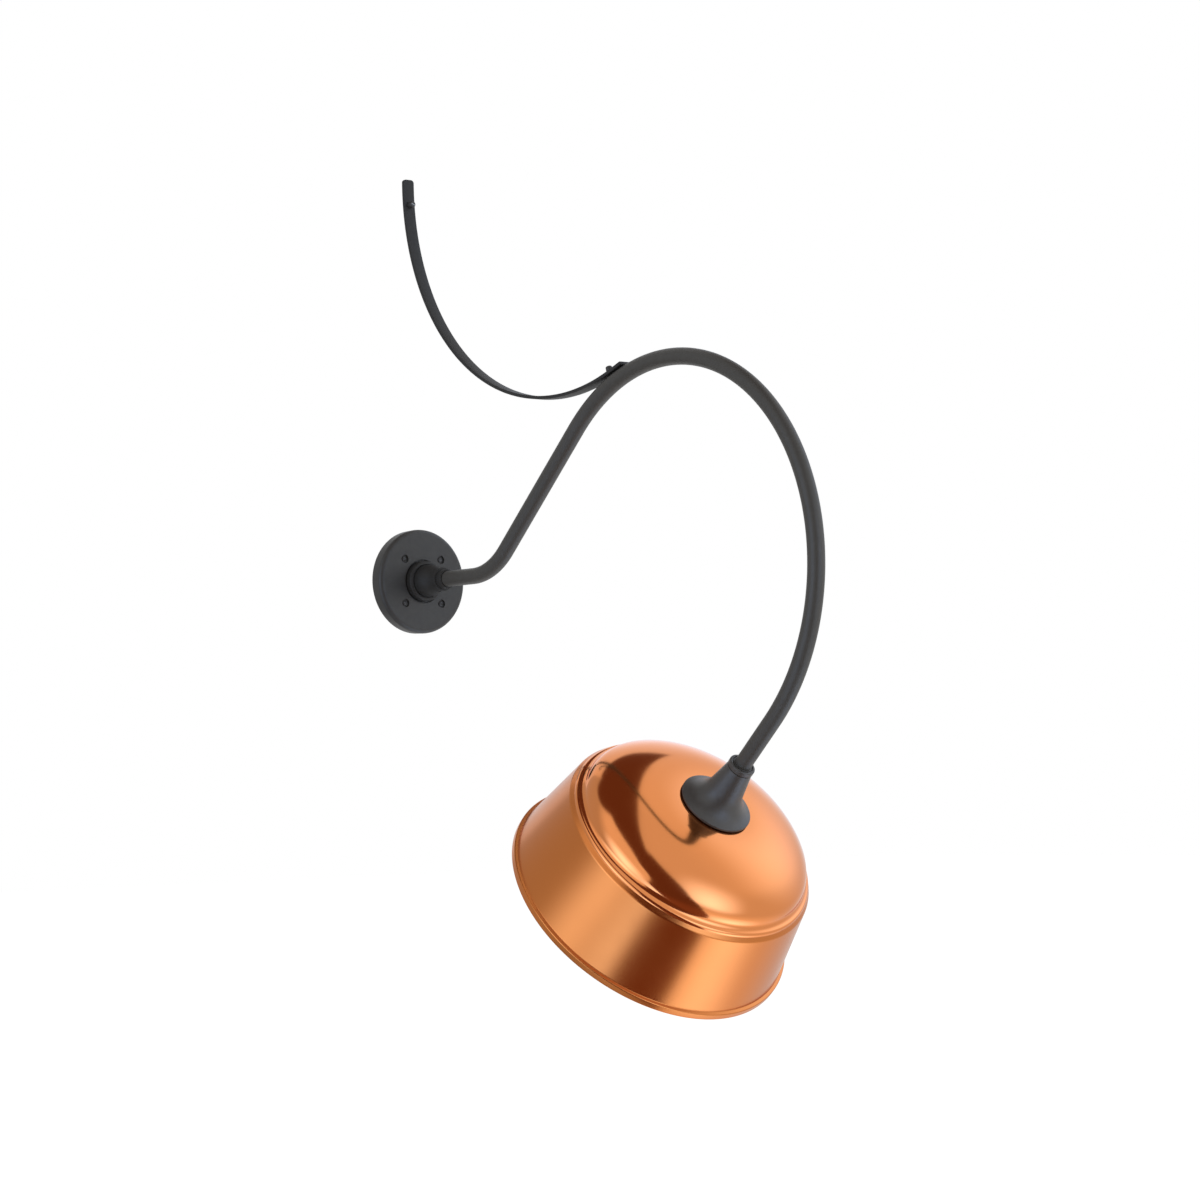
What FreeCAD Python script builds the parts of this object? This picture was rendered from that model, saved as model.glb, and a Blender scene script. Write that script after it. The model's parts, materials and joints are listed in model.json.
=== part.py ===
import FreeCAD, Part
import math
import os

from FreeCAD import Placement, Rotation, Vector

# Gooseneck wall sconce. Millimetres. The wall is the plane Y = 0, the lamp reaches out along -Y, +Z is up,
# and the arm, the brace and the shade all lie in the plane X = 0.
# The origin is the centre of the wall plate, on the wall.

# ---- fits ----
thread_clearance = 0.05      # a screw or a threaded tube in its hole, on the radius
slip_clearance = 0.3         # a piece that turns inside another, on the radius
hole_clearance = 0.3         # a screw shank or a wire in a plain hole, on the radius
seat_gap = 0.2               # a curved face laid against another

# ---- wall plate, a hollow casting ----
plate_back_radius = 69.5
plate_front_radius = 70.3
plate_depth = 20.7
plate_edge_radius = 6.5
plate_face_thickness = 3.4
plate_wall = 5.5
gasket_width = 3.0
gasket_depth = 3.0
boss_radius = 5.5

# ---- mounting bracket on the junction box, inside the plate ----
bracket_radius = 54.0
bracket_thickness = 2.0
bracket_wire_hole_radius = 17.0
box_hole_spacing = 88.9
box_hole_radius = 2.4

# ---- four screws through the face of the plate ----
plate_screw_square = 59.4
plate_screw_radius = 2.4
plate_screw_head_radius = 3.8
plate_screw_head_height = 2.2
plate_screw_recess_radius = 5.8
plate_screw_recess_depth = 2.6

# ---- hub that holds the arm ----
hub_flange_radius = 27.2
hub_flange_rise = 9.2        # above the face of the plate
hub_flange_rounding = 4.2
hub_seat_depth = 3.0
hub_seat_clearance = 1.9
hub_groove_depth = 1.6
hub_groove_width = 0.9
hub_neck_radius = 21.6
hub_neck_length = 20.0
hub_radius = 15.9
hub_radius_start = 33.0
hub_swell_rounding = 30.0
hub_length = 46.3
hub_chamfer = 1.0
hub_collar_radius = 12.9
hub_collar_length = 9.6
hub_tail_radius = 14.4
hub_tail_length = 6.8
hub_shoulder_depth = 38.0
hub_nut_width = 38.0
hub_nut_thickness = 5.0
hub_set_screw_radius = 2.5
hub_set_screw_from_end = 8.6

# ---- arm, bent from half-inch pipe ----
tube_radius = 10.65
tube_wall = 2.75
stub_length = 132.1          # from the wall to the start of the first bend
rise_radius = 104.0
rise_angle = 43.53
rise_length = 208.8
arch_radius = 261.0
arch_angle = 180.78
tail_visible = 72.7          # from the end of the arch to the top of the fitter

# ---- flat brace from the wall down to the arm ----
brace_width = 16.0
brace_thickness = 3.0
brace_radius = 321.0
brace_flat_top = 8.7         # straight end above the curve
brace_tip_length = 24.0
brace_corner_radius = 4.5
brace_wall_screw_from_top = 35.0
brace_screw_radius = 2.4
brace_screw_head_radius = 4.0
brace_screw_head_height = 3.6
brace_screw_back = 6.0       # from the touching point back along the brace
brace_screw_tail = 5.0       # of the wall screw, behind the wall's face
brace_washer_lift = 0.06     # a flat washer on the hollow side of the curve
lock_washer_radius = 4.3
lock_washer_thickness = 1.2

# ---- spun copper shade; heights are from the rim ----
sheet = 1.2
rim_radius = 186.9
rim_lip = 3.0
rim_band_height = 8.6
rim_corner_radius = 1.5
skirt_bottom_radius = 182.3
skirt_bottom_rise = 1.2
skirt_top_radius = 163.9
skirt_top_height = 112.0
step_inset = 3.0
step_rise = 0.9
bead_height = 5.2
bead_width = 4.6
bead_corner_radius = 2.3
groove_corner_radius = 1.5
crown_radius = 150.0
crown_foot_rise = 2.4        # from the upper bead to the start of the shoulder
crown_shoulder_radius = 24.0
crown_shoulder_turn = 45.0
crown_flank_radius = 92.5
crown_flank_turn = 17.0
crown_top_radius = 155.5

# ---- bell-shaped fitter between arm and shade ----
fitter_gasket_radius = 44.6
fitter_gasket_thickness = 1.2
fitter_gasket_width = 6.0
fitter_base_radius = 46.0
fitter_base_edge = 2.7
fitter_height = 69.7
fitter_flare_corner = 22.6
fitter_flare_rise = 12.2
fitter_flare_radius = 38.0
fitter_neck_radius = 16.3
fitter_collar_height = 6.4
fitter_collar_radius = 16.8
fitter_ring_groove = 1.2
fitter_wall = 3.2
fitter_socket_depth = 31.0
fitter_wire_radius = 8.2
fitter_web_height = 12.5
fitter_web_thickness = 15.0
fitter_set_screw_radius = 2.5
fitter_set_screw_from_top = 16.0

# ---- threaded nipple and what it clamps under the crown ----
nipple_radius = 6.5
nipple_bore_radius = 4.95
backing_washer_radius = 24.0
backing_washer_thickness = 1.5
nipple_washer_radius = 10.6
nipple_washer_thickness = 1.2
nipple_nut_width = 21.0
nipple_nut_thickness = 6.0

# ---- lamp holder ----
holder_boss_radius = 9.6
holder_boss_height = 6.4
holder_cap_radius = 22.6
holder_cap_sheet = 1.0
holder_cap_depth = 22.0
porcelain_radius = 21.2
porcelain_flange_radius = 23.2
porcelain_flange_height = 6.0
porcelain_height = 33.0
porcelain_floor = 3.6
porcelain_bore_radius = 14.3
porcelain_gap = 15.5         # wiring space between the cap and the porcelain
terminal_offset = 13.0
terminal_size = 6.0
terminal_length = 10.0
terminal_wire_inset = 3.0    # from the end of the block to its wire
terminal_screw_spacing = 4.2  # from the wire to the screw
terminal_thickness = 3.0
terminal_screw_radius = 1.5
terminal_screw_head_radius = 2.6
holder_screw_radius = 1.7
holder_screw_head_radius = 3.0
holder_screw_head_height = 1.8

# ---- screw thread of the lamp, drawn as rings ----
thread_pitch = 3.63
thread_mid_radius = 12.65
thread_amplitude = 0.42
thread_turns = 5
shell_sheet = 0.5

# ---- lamp bulb ----
bulb_radius = 30.0
bulb_neck_radius = 12.6
bulb_glass_length = 86.0
bulb_glass_wall = 0.9
bulb_cap_sheet = 0.5
bulb_cap_collar = 3.0
bulb_shoulder = 34.0
contact_radius = 4.4
contact_height = 1.2
insulator_height = 3.6
stem_radius = 3.6
stem_length = 38.0
filament_span = 13.0
filament_wire_radius = 0.45

# ---- wiring ----
lead_radius = 1.3
lead_offset = 2.0
lead_bend_radius = 7.7
lead_fan_radius = 6.0
lead_fan_angle = 60.0
wire_nut_radius = 4.1
wire_nut_length = 15.0
wire_nut_start = 14.0
ground_screw_radius = 2.0
ground_screw_head_radius = 4.6
ground_screw_head_height = 2.6
ground_screw_drop = 38.0

X_AXIS = Vector(1, 0, 0)
Y_AXIS = Vector(0, 1, 0)
Z_AXIS = Vector(0, 0, 1)
OUT = Vector(0, -1, 0)


def crown_path():
    """The crown's outline as rounded corners, three tangent arcs from its foot to the flat top, and its height."""
    radius = crown_radius
    height = second_bead_top + crown_foot_rise
    slope = 0.0
    corners = []
    last_turn = 90 - crown_shoulder_turn - crown_flank_turn
    for rounding, turn in ((crown_shoulder_radius, crown_shoulder_turn), (crown_flank_radius, crown_flank_turn),
                           (crown_top_radius, last_turn)):
        reach = rounding * math.tan(math.radians(turn) / 2)
        radius -= reach * math.sin(slope)
        height += reach * math.cos(slope)
        corners.append((radius, height, rounding))
        slope += math.radians(turn)
        radius -= reach * math.sin(slope)
        height += reach * math.cos(slope)
    return corners, height


# ---- derived places ----
arm_start = plate_depth + hub_length - hub_shoulder_depth
tilt = arch_angle - rise_angle - 90
step_radius = skirt_top_radius - step_inset
step_height = skirt_top_height + step_rise
first_bead_top = step_height + bead_height
second_bead_radius = step_radius - bead_width
second_bead_top = first_bead_top + bead_height - 0.6
crown_corners, shade_height = crown_path()
gasket_top = shade_height + fitter_gasket_thickness
fitter_top = gasket_top + fitter_height
tube_end = fitter_top - fitter_socket_depth
web_bottom = gasket_top + fitter_web_height
web_top = web_bottom + fitter_web_thickness
crown_inside = shade_height - sheet
backing_bottom = crown_inside - backing_washer_thickness
nipple_washer_bottom = backing_bottom - nipple_washer_thickness
nipple_nut_bottom = nipple_washer_bottom - nipple_nut_thickness
holder_top = nipple_nut_bottom - slip_clearance
holder_disc_top = holder_top - holder_boss_height
holder_disc_bottom = holder_disc_top - holder_cap_sheet
nipple_bottom = holder_disc_bottom
porcelain_top = holder_disc_bottom - porcelain_gap
porcelain_bottom = porcelain_top - porcelain_height
porcelain_ceiling = porcelain_top - porcelain_floor
terminal_top = porcelain_top + terminal_thickness
contact_tip = porcelain_ceiling - 2.4
insulator_base = contact_tip - contact_height
cap_top = insulator_base - insulator_height
cap_bottom = cap_top - thread_turns * thread_pitch
glass_top = cap_bottom - bulb_cap_collar


# ---------------------------------------------------------------- helpers

def corner_arc(before, corner, after, radius):
    """The tangent points and the middle of the arc that rounds a corner of an outline."""
    to_before = (before - corner).normalize()
    to_after = (after - corner).normalize()
    half = to_before.getAngle(to_after) / 2
    reach = radius / math.tan(half)
    bisector = (to_before + to_after).normalize()
    centre = corner + bisector * (radius / math.sin(half))
    return corner + to_before * reach, centre - bisector * radius, corner + to_after * reach


def outline(corners, closed=True):
    """A wire in the XZ plane through corners (radius, height) or (radius, height, rounding)."""
    points = [Vector(c[0], 0, c[1]) for c in corners]
    stops = []
    for i, corner in enumerate(corners):
        is_end = not closed and i in (0, len(corners) - 1)
        if len(corner) == 2 or is_end:
            stops.append((points[i],))
        else:
            stops.append(corner_arc(points[i - 1], points[i], points[(i + 1) % len(points)], corner[2]))
    edges = []
    for i, stop in enumerate(stops):
        if len(stop) == 3:
            edges.append(Part.Arc(*stop).toShape())
        if i == len(stops) - 1 and not closed:
            break
        following = stops[(i + 1) % len(stops)][0]
        if stop[-1].distanceToPoint(following) > 1e-6:
            edges.append(Part.LineSegment(stop[-1], following).toShape())
    return Part.Wire(edges)


def revolved(corners):
    """A solid of revolution about Z from a closed outline of (radius, height) corners."""
    return Part.Face(outline(corners)).revolve(Vector(), Z_AXIS, 360)


def offset_path(corners, distance):
    """An open path of corners moved sideways by distance, to the left of its direction."""
    points = [Vector(c[0], 0, c[1]) for c in corners]
    lines = []
    for start, end in zip(points, points[1:]):
        along = (end - start).normalize()
        side = Vector(-along.z, 0, along.x) * distance
        lines.append((start + side, along))
    moved = [(lines[0][0].x, lines[0][0].z)]
    for (p, u), (q, v), corner in zip(lines, lines[1:], corners[1:]):
        turn = u.x * v.z - u.z * v.x
        reach = ((q.x - p.x) * v.z - (q.z - p.z) * v.x) / turn
        place = p + u * reach
        rounding = corner[2] - distance if turn > 0 else corner[2] + distance
        moved.append((place.x, place.z, max(rounding, 0.15)))
    last_side = lines[-1][0] - points[-2]
    end = points[-1] + last_side
    moved.append((end.x, end.z))
    return moved


def sheet_metal(corners, thickness):
    """A spun sheet: an open path of outer corners, thickened to its left and turned about Z."""
    inner = offset_path(corners, thickness)
    return revolved(list(corners) + inner[::-1])


def cylinder(radius, bottom, top, x=0.0, y=0.0):
    return Part.makeCylinder(radius, top - bottom, Vector(x, y, bottom), Z_AXIS)


def ring(outer, inner, bottom, top):
    return revolved([(inner, bottom), (outer, bottom), (outer, top), (inner, top)])


def hexagon(width, bottom, top):
    across = width / math.sqrt(3)
    corners = [Vector(across * math.cos(math.radians(60 * k)), across * math.sin(math.radians(60 * k)), bottom)
               for k in range(6)]
    return Part.Face(Part.makePolygon(corners + corners[:1])).extrude(Z_AXIS * (top - bottom))


def hex_nut(width, bore, bottom, top):
    """A hexagon nut with its outer edges chamfered by a cone, as turned nuts are."""
    chamfer = (top - bottom) * 0.2
    reach = width / math.sqrt(3)
    body = hexagon(width, bottom, top)
    limit = revolved([(bore, bottom), (reach - chamfer, bottom), (reach + 0.1, bottom + chamfer),
                      (reach + 0.1, top - chamfer), (reach - chamfer, top), (bore, top)])
    return body.common(limit)


def round_head_screw(head_radius, head_height, shank_radius, shank_length, washer=0.0):
    """A slotted round-head screw along Z: the head sits on the plane Z = 0 with its shank below."""
    dome = (head_radius ** 2 + head_height ** 2) / (2 * head_height)
    head = Part.makeSphere(dome, Vector(0, 0, washer + head_height - dome))
    head = head.common(cylinder(head_radius * 1.2, washer, washer + head_height))
    shank = cylinder(shank_radius, -shank_length, washer)
    slot_width = head_radius * 0.28
    slot = Part.makeBox(head_radius * 3, slot_width, head_height,
                        Vector(-head_radius * 1.5, -slot_width / 2, washer + head_height * 0.55))
    return head.fuse(shank).cut(slot).removeSplitter()


def grub_screw(radius, length):
    """A set screw along Z with a hexagon socket, its outer end on the plane Z = 0."""
    body = cylinder(radius, -length, 0)
    return body.cut(hexagon(radius, -length * 0.5, 1))


def ringed_profile(mid_radius, bottom, top_count):
    """Arcs that run upward along a rolled thread, one crest and one root to each turn."""
    edges = []
    quarter = thread_pitch / 4
    for k in range(top_count):
        low = bottom + k * thread_pitch
        crest = (Vector(mid_radius, 0, low), Vector(mid_radius + thread_amplitude, 0, low + quarter),
                 Vector(mid_radius, 0, low + 2 * quarter))
        root = (Vector(mid_radius, 0, low + 2 * quarter),
                Vector(mid_radius - thread_amplitude, 0, low + 3 * quarter),
                Vector(mid_radius, 0, low + 4 * quarter))
        edges += [Part.Arc(*crest).toShape(), Part.Arc(*root).toShape()]
    return edges


def threaded_sleeve(inner_mid, thickness, bottom, turns):
    """A rolled sheet sleeve with the same rings inside and outside."""
    inner = ringed_profile(inner_mid, bottom, turns)
    outer = ringed_profile(inner_mid + thickness, bottom, turns)
    top = bottom + turns * thread_pitch
    closing = [Part.LineSegment(Vector(inner_mid, 0, z), Vector(inner_mid + thickness, 0, z)).toShape()
               for z in (bottom, top)]
    wire = Part.Wire(Part.__sortEdges__(inner + outer + closing))
    return Part.Face(wire).revolve(Vector(), Z_AXIS, 360)


class Route:
    """A path of straight runs and tangent bends, for the arm and the wires in it."""

    def __init__(self, start, direction):
        self.point = Vector(start)
        self.direction = Vector(direction).normalize()
        self.start = Vector(start)
        self.start_direction = Vector(self.direction)
        self.edges = []

    def straight(self, length):
        end = self.point + self.direction * length
        self.edges.append(Part.LineSegment(self.point, end).toShape())
        self.point = end
        return self

    def bend(self, radius, angle, about):
        centre = self.point + about.cross(self.direction) * radius
        spoke = self.point - centre
        middle = centre + Rotation(about, angle / 2).multVec(spoke)
        end = centre + Rotation(about, angle).multVec(spoke)
        self.edges.append(Part.Arc(self.point, middle, end).toShape())
        self.point = end
        self.direction = Rotation(about, angle).multVec(self.direction)
        return self

    def length(self):
        return sum(edge.Length for edge in self.edges)

    def swept(self, radius):
        section = Part.Wire([Part.makeCircle(radius, self.start, self.start_direction)])
        return Part.Wire(self.edges).makePipeShell([section], True, False)


def on_wall(shape):
    """Stands a shape that was drawn along Z out from the wall, along -Y."""
    turned = shape.copy()
    turned.Placement = Placement(Vector(), Rotation(X_AXIS, 90)).multiply(turned.Placement)
    return turned


def bend_arm(route):
    """Takes a route through the bends of the arm to the end of the arch."""
    route.bend(rise_radius, rise_angle, -X_AXIS)
    route.straight(rise_length)
    route.bend(arch_radius, arch_angle, X_AXIS)
    return route


arch_end = bend_arm(Route(OUT * stub_length, OUT))
rim_centre = arch_end.point + arch_end.direction * (tail_visible + fitter_top)


def in_shade(shape):
    """Moves a shape drawn about Z, with the rim at height 0, to the shade's place."""
    placed = shape.copy()
    placed.Placement = Placement(rim_centre, Rotation(X_AXIS, tilt)).multiply(placed.Placement)
    return placed


def plate_screw_places():
    half = plate_screw_square / 2
    return [(x, y) for x in (-half, half) for y in (-half, half)]


# ---------------------------------------------------------------- wall plate and hub

def wall_plate():
    face_inside = plate_depth - plate_face_thickness
    seat_floor = plate_depth - hub_seat_depth
    cavity_radius = plate_back_radius - plate_wall
    gasket_outer = cavity_radius + gasket_width
    opening = hub_tail_radius + hole_clearance
    seat_radius = hub_flange_radius + hub_seat_clearance
    shell = revolved([
        (gasket_outer, 0), (plate_back_radius, 0),
        (plate_front_radius, plate_depth, plate_edge_radius),
        (seat_radius, plate_depth, 0.6), (seat_radius, seat_floor), (opening, seat_floor),
        (opening, face_inside), (cavity_radius, face_inside, 3.0),
        (cavity_radius, gasket_depth), (gasket_outer, gasket_depth)])
    for x, y in plate_screw_places():
        shell = shell.fuse(cylinder(boss_radius, bracket_thickness, face_inside + 1, x, y))
    for x, y in plate_screw_places():
        shell = shell.cut(cylinder(plate_screw_radius + hole_clearance, 0, plate_depth, x, y))
        recess_floor = plate_depth - plate_screw_recess_depth
        shell = shell.cut(cylinder(plate_screw_recess_radius, recess_floor, plate_depth + 1, x, y))
    return on_wall(shell.removeSplitter())


def wall_gasket():
    inner = plate_back_radius - plate_wall
    return on_wall(ring(inner + gasket_width - 0.1, inner + 0.1, 0, gasket_depth))


def mounting_bracket():
    plate = ring(bracket_radius, bracket_wire_hole_radius, 0, bracket_thickness)
    for x, y in plate_screw_places():
        plate = plate.cut(cylinder(plate_screw_radius + thread_clearance, -1, bracket_thickness + 1, x, y))
    for side in (-1, 1):
        plate = plate.cut(cylinder(box_hole_radius, -1, bracket_thickness + 1, side * box_hole_spacing / 2))
    plate = plate.cut(cylinder(ground_screw_radius + thread_clearance, -1, bracket_thickness + 1,
                               0, -ground_screw_drop))
    return on_wall(plate)


def plate_screws():
    seat = plate_depth - plate_screw_recess_depth
    screws = []
    for k, (x, y) in enumerate(plate_screw_places()):
        screw = round_head_screw(plate_screw_head_radius, plate_screw_head_height, plate_screw_radius, seat)
        screw.rotate(Vector(), Z_AXIS, 25 + 50 * k)
        screw.translate(Vector(x, y, seat))
        screws.append(screw)
    return on_wall(Part.makeCompound(screws))


def ground_screw():
    head = hexagon(ground_screw_head_radius * math.sqrt(3), bracket_thickness,
                   bracket_thickness + ground_screw_head_height)
    shank = cylinder(ground_screw_radius, 0, bracket_thickness)
    screw = head.fuse(shank).removeSplitter()
    screw.translate(Vector(0, -ground_screw_drop, 0))
    return on_wall(screw)


def arm_hub():
    seat_floor = plate_depth - hub_seat_depth
    flange_top = plate_depth + hub_flange_rise
    groove_floor = flange_top - hub_groove_depth
    end = plate_depth + hub_length
    collar_end = end + hub_collar_length
    wire_bore = tube_radius - tube_wall
    tail_end = plate_depth - plate_face_thickness - hub_tail_length
    body = revolved([
        (wire_bore, tail_end), (hub_tail_radius, tail_end, 0.8),
        (hub_tail_radius, seat_floor), (hub_flange_radius, seat_floor),
        (hub_flange_radius, flange_top, hub_flange_rounding),
        (hub_neck_radius + hub_groove_width, flange_top, 0.3),
        (hub_neck_radius + hub_groove_width, groove_floor), (hub_neck_radius, groove_floor),
        (hub_neck_radius, plate_depth + hub_neck_length, hub_swell_rounding),
        (hub_radius, plate_depth + hub_radius_start, hub_swell_rounding),
        (hub_radius, end, hub_chamfer), (hub_collar_radius, end, 0.4),
        (hub_collar_radius, collar_end, hub_chamfer),
        (tube_radius + thread_clearance, collar_end), (tube_radius + thread_clearance, arm_start),
        (wire_bore, arm_start)])
    body = on_wall(body)
    screw_out = end - hub_set_screw_from_end
    hole = Part.makeCylinder(hub_set_screw_radius + thread_clearance, hub_radius + 1,
                             Vector(0, -screw_out, 0), Vector(0, 0, -1))
    bore_keeper = Part.makeCylinder(tube_radius, 2 * tube_radius, Vector(0, -screw_out + tube_radius, 0), OUT)
    return body.cut(hole.cut(bore_keeper)).removeSplitter()


def hub_set_screw():
    depth = hub_radius - tube_radius - 0.8
    screw = grub_screw(hub_set_screw_radius, depth - seat_gap)
    screw.rotate(Vector(), X_AXIS, 180)
    screw.translate(Vector(0, -(plate_depth + hub_length - hub_set_screw_from_end), -(tube_radius + depth)))
    return screw


def hub_locknut():
    face_inside = plate_depth - plate_face_thickness
    nut = hex_nut(hub_nut_width, hub_tail_radius + thread_clearance, face_inside - hub_nut_thickness, face_inside)
    return on_wall(nut)


# ---------------------------------------------------------------- arm and brace

def arm_tube():
    def route():
        path = Route(OUT * arm_start, OUT).straight(stub_length - arm_start)
        return bend_arm(path).straight(tail_visible + fitter_socket_depth)
    pipe = route().swept(tube_radius).cut(route().swept(tube_radius - tube_wall))
    hole = Part.makeCylinder(brace_screw_radius + thread_clearance, brace_thickness + tube_wall + 3,
                             arm_screw_seat(), -arm_screw_axis())
    return pipe.cut(hole)


def arch_centre():
    """Centre of the arch as (distance out, height)."""
    rise = math.radians(rise_angle)
    start_out = stub_length + rise_radius * math.sin(rise) + rise_length * math.cos(rise)
    start_up = rise_radius * (1 - math.cos(rise)) + rise_length * math.sin(rise)
    return start_out + arch_radius * math.sin(rise), start_up - arch_radius * math.cos(rise)


def brace_geometry():
    """Centre of the brace's curve and the angle, from straight down, at which it touches the arm."""
    out = brace_thickness / 2 + brace_radius
    arch_out, arch_up = arch_centre()
    reach = brace_radius + arch_radius + tube_radius + seat_gap + brace_thickness / 2
    up = arch_up + math.sqrt(reach ** 2 - (arch_out - out) ** 2)
    return out, up, math.asin((arch_out - out) / reach)


def brace_top():
    return brace_geometry()[1] + brace_flat_top


def brace_wall_screw_height():
    return brace_top() - brace_wall_screw_from_top


def brace_point(angle, inset=0.0):
    """A point of the brace's curve, angle past its lowest point, inset towards its centre."""
    out, up, _ = brace_geometry()
    radius = brace_radius - inset
    return Vector(0, -(out + radius * math.sin(angle)), up - radius * math.cos(angle))


def brace_face_out(height):
    """How far the room side of the brace stands out from the wall at a height."""
    out, up, _ = brace_geometry()
    return out - math.sqrt((brace_radius - brace_thickness / 2) ** 2 - (up - height) ** 2)


def arm_screw_axis():
    """Unit vector along the arm's brace screw, from the arm out through the brace."""
    angle = brace_geometry()[2] - brace_screw_back / brace_radius
    return Vector(0, math.sin(angle), math.cos(angle))


def arm_screw_seat():
    """Where the screw's washer sits on the brace."""
    angle = brace_geometry()[2] - brace_screw_back / brace_radius
    return brace_point(angle, brace_thickness / 2 + brace_washer_lift)


def brace_strap():
    out, up, touch = brace_geometry()
    tip = Vector(0, -math.cos(touch), math.sin(touch)) * brace_tip_length
    faces = []
    for inset in (-brace_thickness / 2, brace_thickness / 2):
        wall_out = brace_thickness / 2 + inset
        top = Vector(0, -wall_out, brace_top())
        curve_start = Vector(0, -wall_out, up)
        middle = brace_point((touch - math.pi / 2) / 2, inset)
        curve_end = brace_point(touch, inset)
        faces.append((top, curve_start, middle, curve_end, curve_end + tip))
    outer, inner = faces
    edges = []
    for top, curve_start, middle, curve_end, end in faces:
        edges.append(Part.LineSegment(top, curve_start).toShape())
        edges.append(Part.Arc(curve_start, middle, curve_end).toShape())
        edges.append(Part.LineSegment(curve_end, end).toShape())
    edges.append(Part.LineSegment(outer[0], inner[0]).toShape())
    edges.append(Part.LineSegment(outer[4], inner[4]).toShape())
    profile = Part.Face(Part.Wire(Part.__sortEdges__(edges)))
    profile.translate(X_AXIS * (-brace_width / 2))
    strap = profile.extrude(X_AXIS * brace_width)
    corners = [edge for edge in strap.Edges
               if edge.Length < brace_thickness * 1.01 and abs(edge.BoundBox.XLength) < 1e-6
               and edge.BoundBox.ZMax > brace_top() - 1]
    strap = strap.makeFillet(brace_corner_radius, corners)
    wall_hole = Part.makeCylinder(brace_screw_radius + hole_clearance, brace_thickness * 2,
                                  Vector(0, brace_thickness / 2, brace_wall_screw_height()), OUT)
    arm_hole = Part.makeCylinder(brace_screw_radius + hole_clearance, brace_thickness * 2,
                                 arm_screw_seat() + arm_screw_axis(), -arm_screw_axis())
    return strap.cut(wall_hole).cut(arm_hole)


def along(shape, place, axis):
    """Moves a shape drawn along Z so that its Z axis points along axis at place."""
    moved = shape.copy()
    moved.Placement = Placement(place, Rotation(Z_AXIS, axis)).multiply(moved.Placement)
    return moved


def brace_wall_screw():
    height = brace_wall_screw_height()
    seat = brace_face_out(height - brace_screw_head_radius)
    screw = round_head_screw(brace_screw_head_radius, brace_screw_head_height, brace_screw_radius,
                             seat + brace_screw_tail)
    screw.rotate(Vector(), Z_AXIS, 20)
    return along(screw, Vector(0, -seat, height), OUT)


def brace_arm_screw():
    grip = brace_thickness + seat_gap + tube_wall + 0.8
    screw = round_head_screw(brace_screw_head_radius, brace_screw_head_height, brace_screw_radius, grip,
                             lock_washer_thickness)
    return along(screw, arm_screw_seat(), arm_screw_axis())


def brace_lock_washer():
    washer = ring(lock_washer_radius, brace_screw_radius + thread_clearance, 0, lock_washer_thickness)
    gap = Part.makeBox(lock_washer_radius * 2, 0.8, lock_washer_thickness * 2, Vector(0, -0.4, -0.5))
    return along(washer.cut(gap), arm_screw_seat(), arm_screw_axis())


# ---------------------------------------------------------------- shade and fitter

def shade_path():
    """The outer face of the shade from the lip inside its rim up to the hole in its crown."""
    hole = nipple_radius + hole_clearance
    return [
        (rim_radius - rim_lip, 0), (rim_radius, 0, rim_corner_radius),
        (rim_radius, rim_band_height, rim_corner_radius),
        (skirt_bottom_radius, rim_band_height + skirt_bottom_rise, 1.0),
        (skirt_top_radius, skirt_top_height, 1.3), (step_radius, step_height, groove_corner_radius),
        (step_radius, first_bead_top, bead_corner_radius),
        (second_bead_radius, first_bead_top, groove_corner_radius),
        (second_bead_radius, second_bead_top, bead_corner_radius),
        (crown_radius, second_bead_top, groove_corner_radius)] + crown_corners + [(hole, shade_height)]


def shade():
    return in_shade(sheet_metal(shade_path(), sheet))


def fitter_gasket():
    inner = fitter_gasket_radius - fitter_gasket_width
    return in_shade(ring(fitter_gasket_radius, inner, shade_height, gasket_top))


def neck_fitter():
    edge_top = gasket_top + fitter_base_edge
    collar_bottom = fitter_top - fitter_collar_height
    bore = tube_radius + thread_clearance
    groove_inner = bore + 1.5
    groove_outer = groove_inner + fitter_ring_groove
    thread = nipple_radius + thread_clearance
    body = revolved([
        (fitter_base_radius - fitter_wall, gasket_top), (fitter_base_radius, gasket_top),
        (fitter_base_radius, edge_top, 1.1),
        (fitter_flare_corner, gasket_top + fitter_flare_rise, fitter_flare_radius),
        (fitter_neck_radius, collar_bottom - 1.2), (fitter_neck_radius - 0.9, collar_bottom - 0.9),
        (fitter_neck_radius - 0.9, collar_bottom), (fitter_collar_radius, collar_bottom, 0.6),
        (fitter_collar_radius, fitter_top, 1.6), (groove_outer, fitter_top),
        (groove_outer, fitter_top - 1.4), (groove_inner, fitter_top - 1.4), (groove_inner, fitter_top),
        (bore, fitter_top), (bore, tube_end), (fitter_wire_radius, tube_end),
        (fitter_wire_radius, web_top), (thread, web_top), (thread, web_bottom),
        (fitter_neck_radius, web_bottom, 6.0), (fitter_base_radius - fitter_wall - 1, gasket_top + 2.0)])
    screw_height = fitter_top - fitter_set_screw_from_top
    hole = Part.makeCylinder(fitter_set_screw_radius + thread_clearance, fitter_collar_radius + 6,
                             Vector(0, 0, screw_height), Y_AXIS)
    bore_keeper = cylinder(bore, screw_height - 2 * tube_radius, screw_height + 2 * tube_radius)
    return in_shade(body.cut(hole.cut(bore_keeper)).removeSplitter())


def fitter_neck_radius_at(height):
    """Outer radius of the straight part of the neck at a height above the rim."""
    low = gasket_top + fitter_flare_rise
    high = fitter_top - fitter_collar_height - 1.2
    share = (height - low) / (high - low)
    return fitter_flare_corner + (fitter_neck_radius - fitter_flare_corner) * share


def fitter_set_screw():
    height = fitter_top - fitter_set_screw_from_top
    outer = fitter_neck_radius_at(height) - 0.8
    screw = grub_screw(fitter_set_screw_radius, outer - tube_radius - seat_gap)
    return in_shade(along(screw, Vector(0, outer, height), Y_AXIS))


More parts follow.
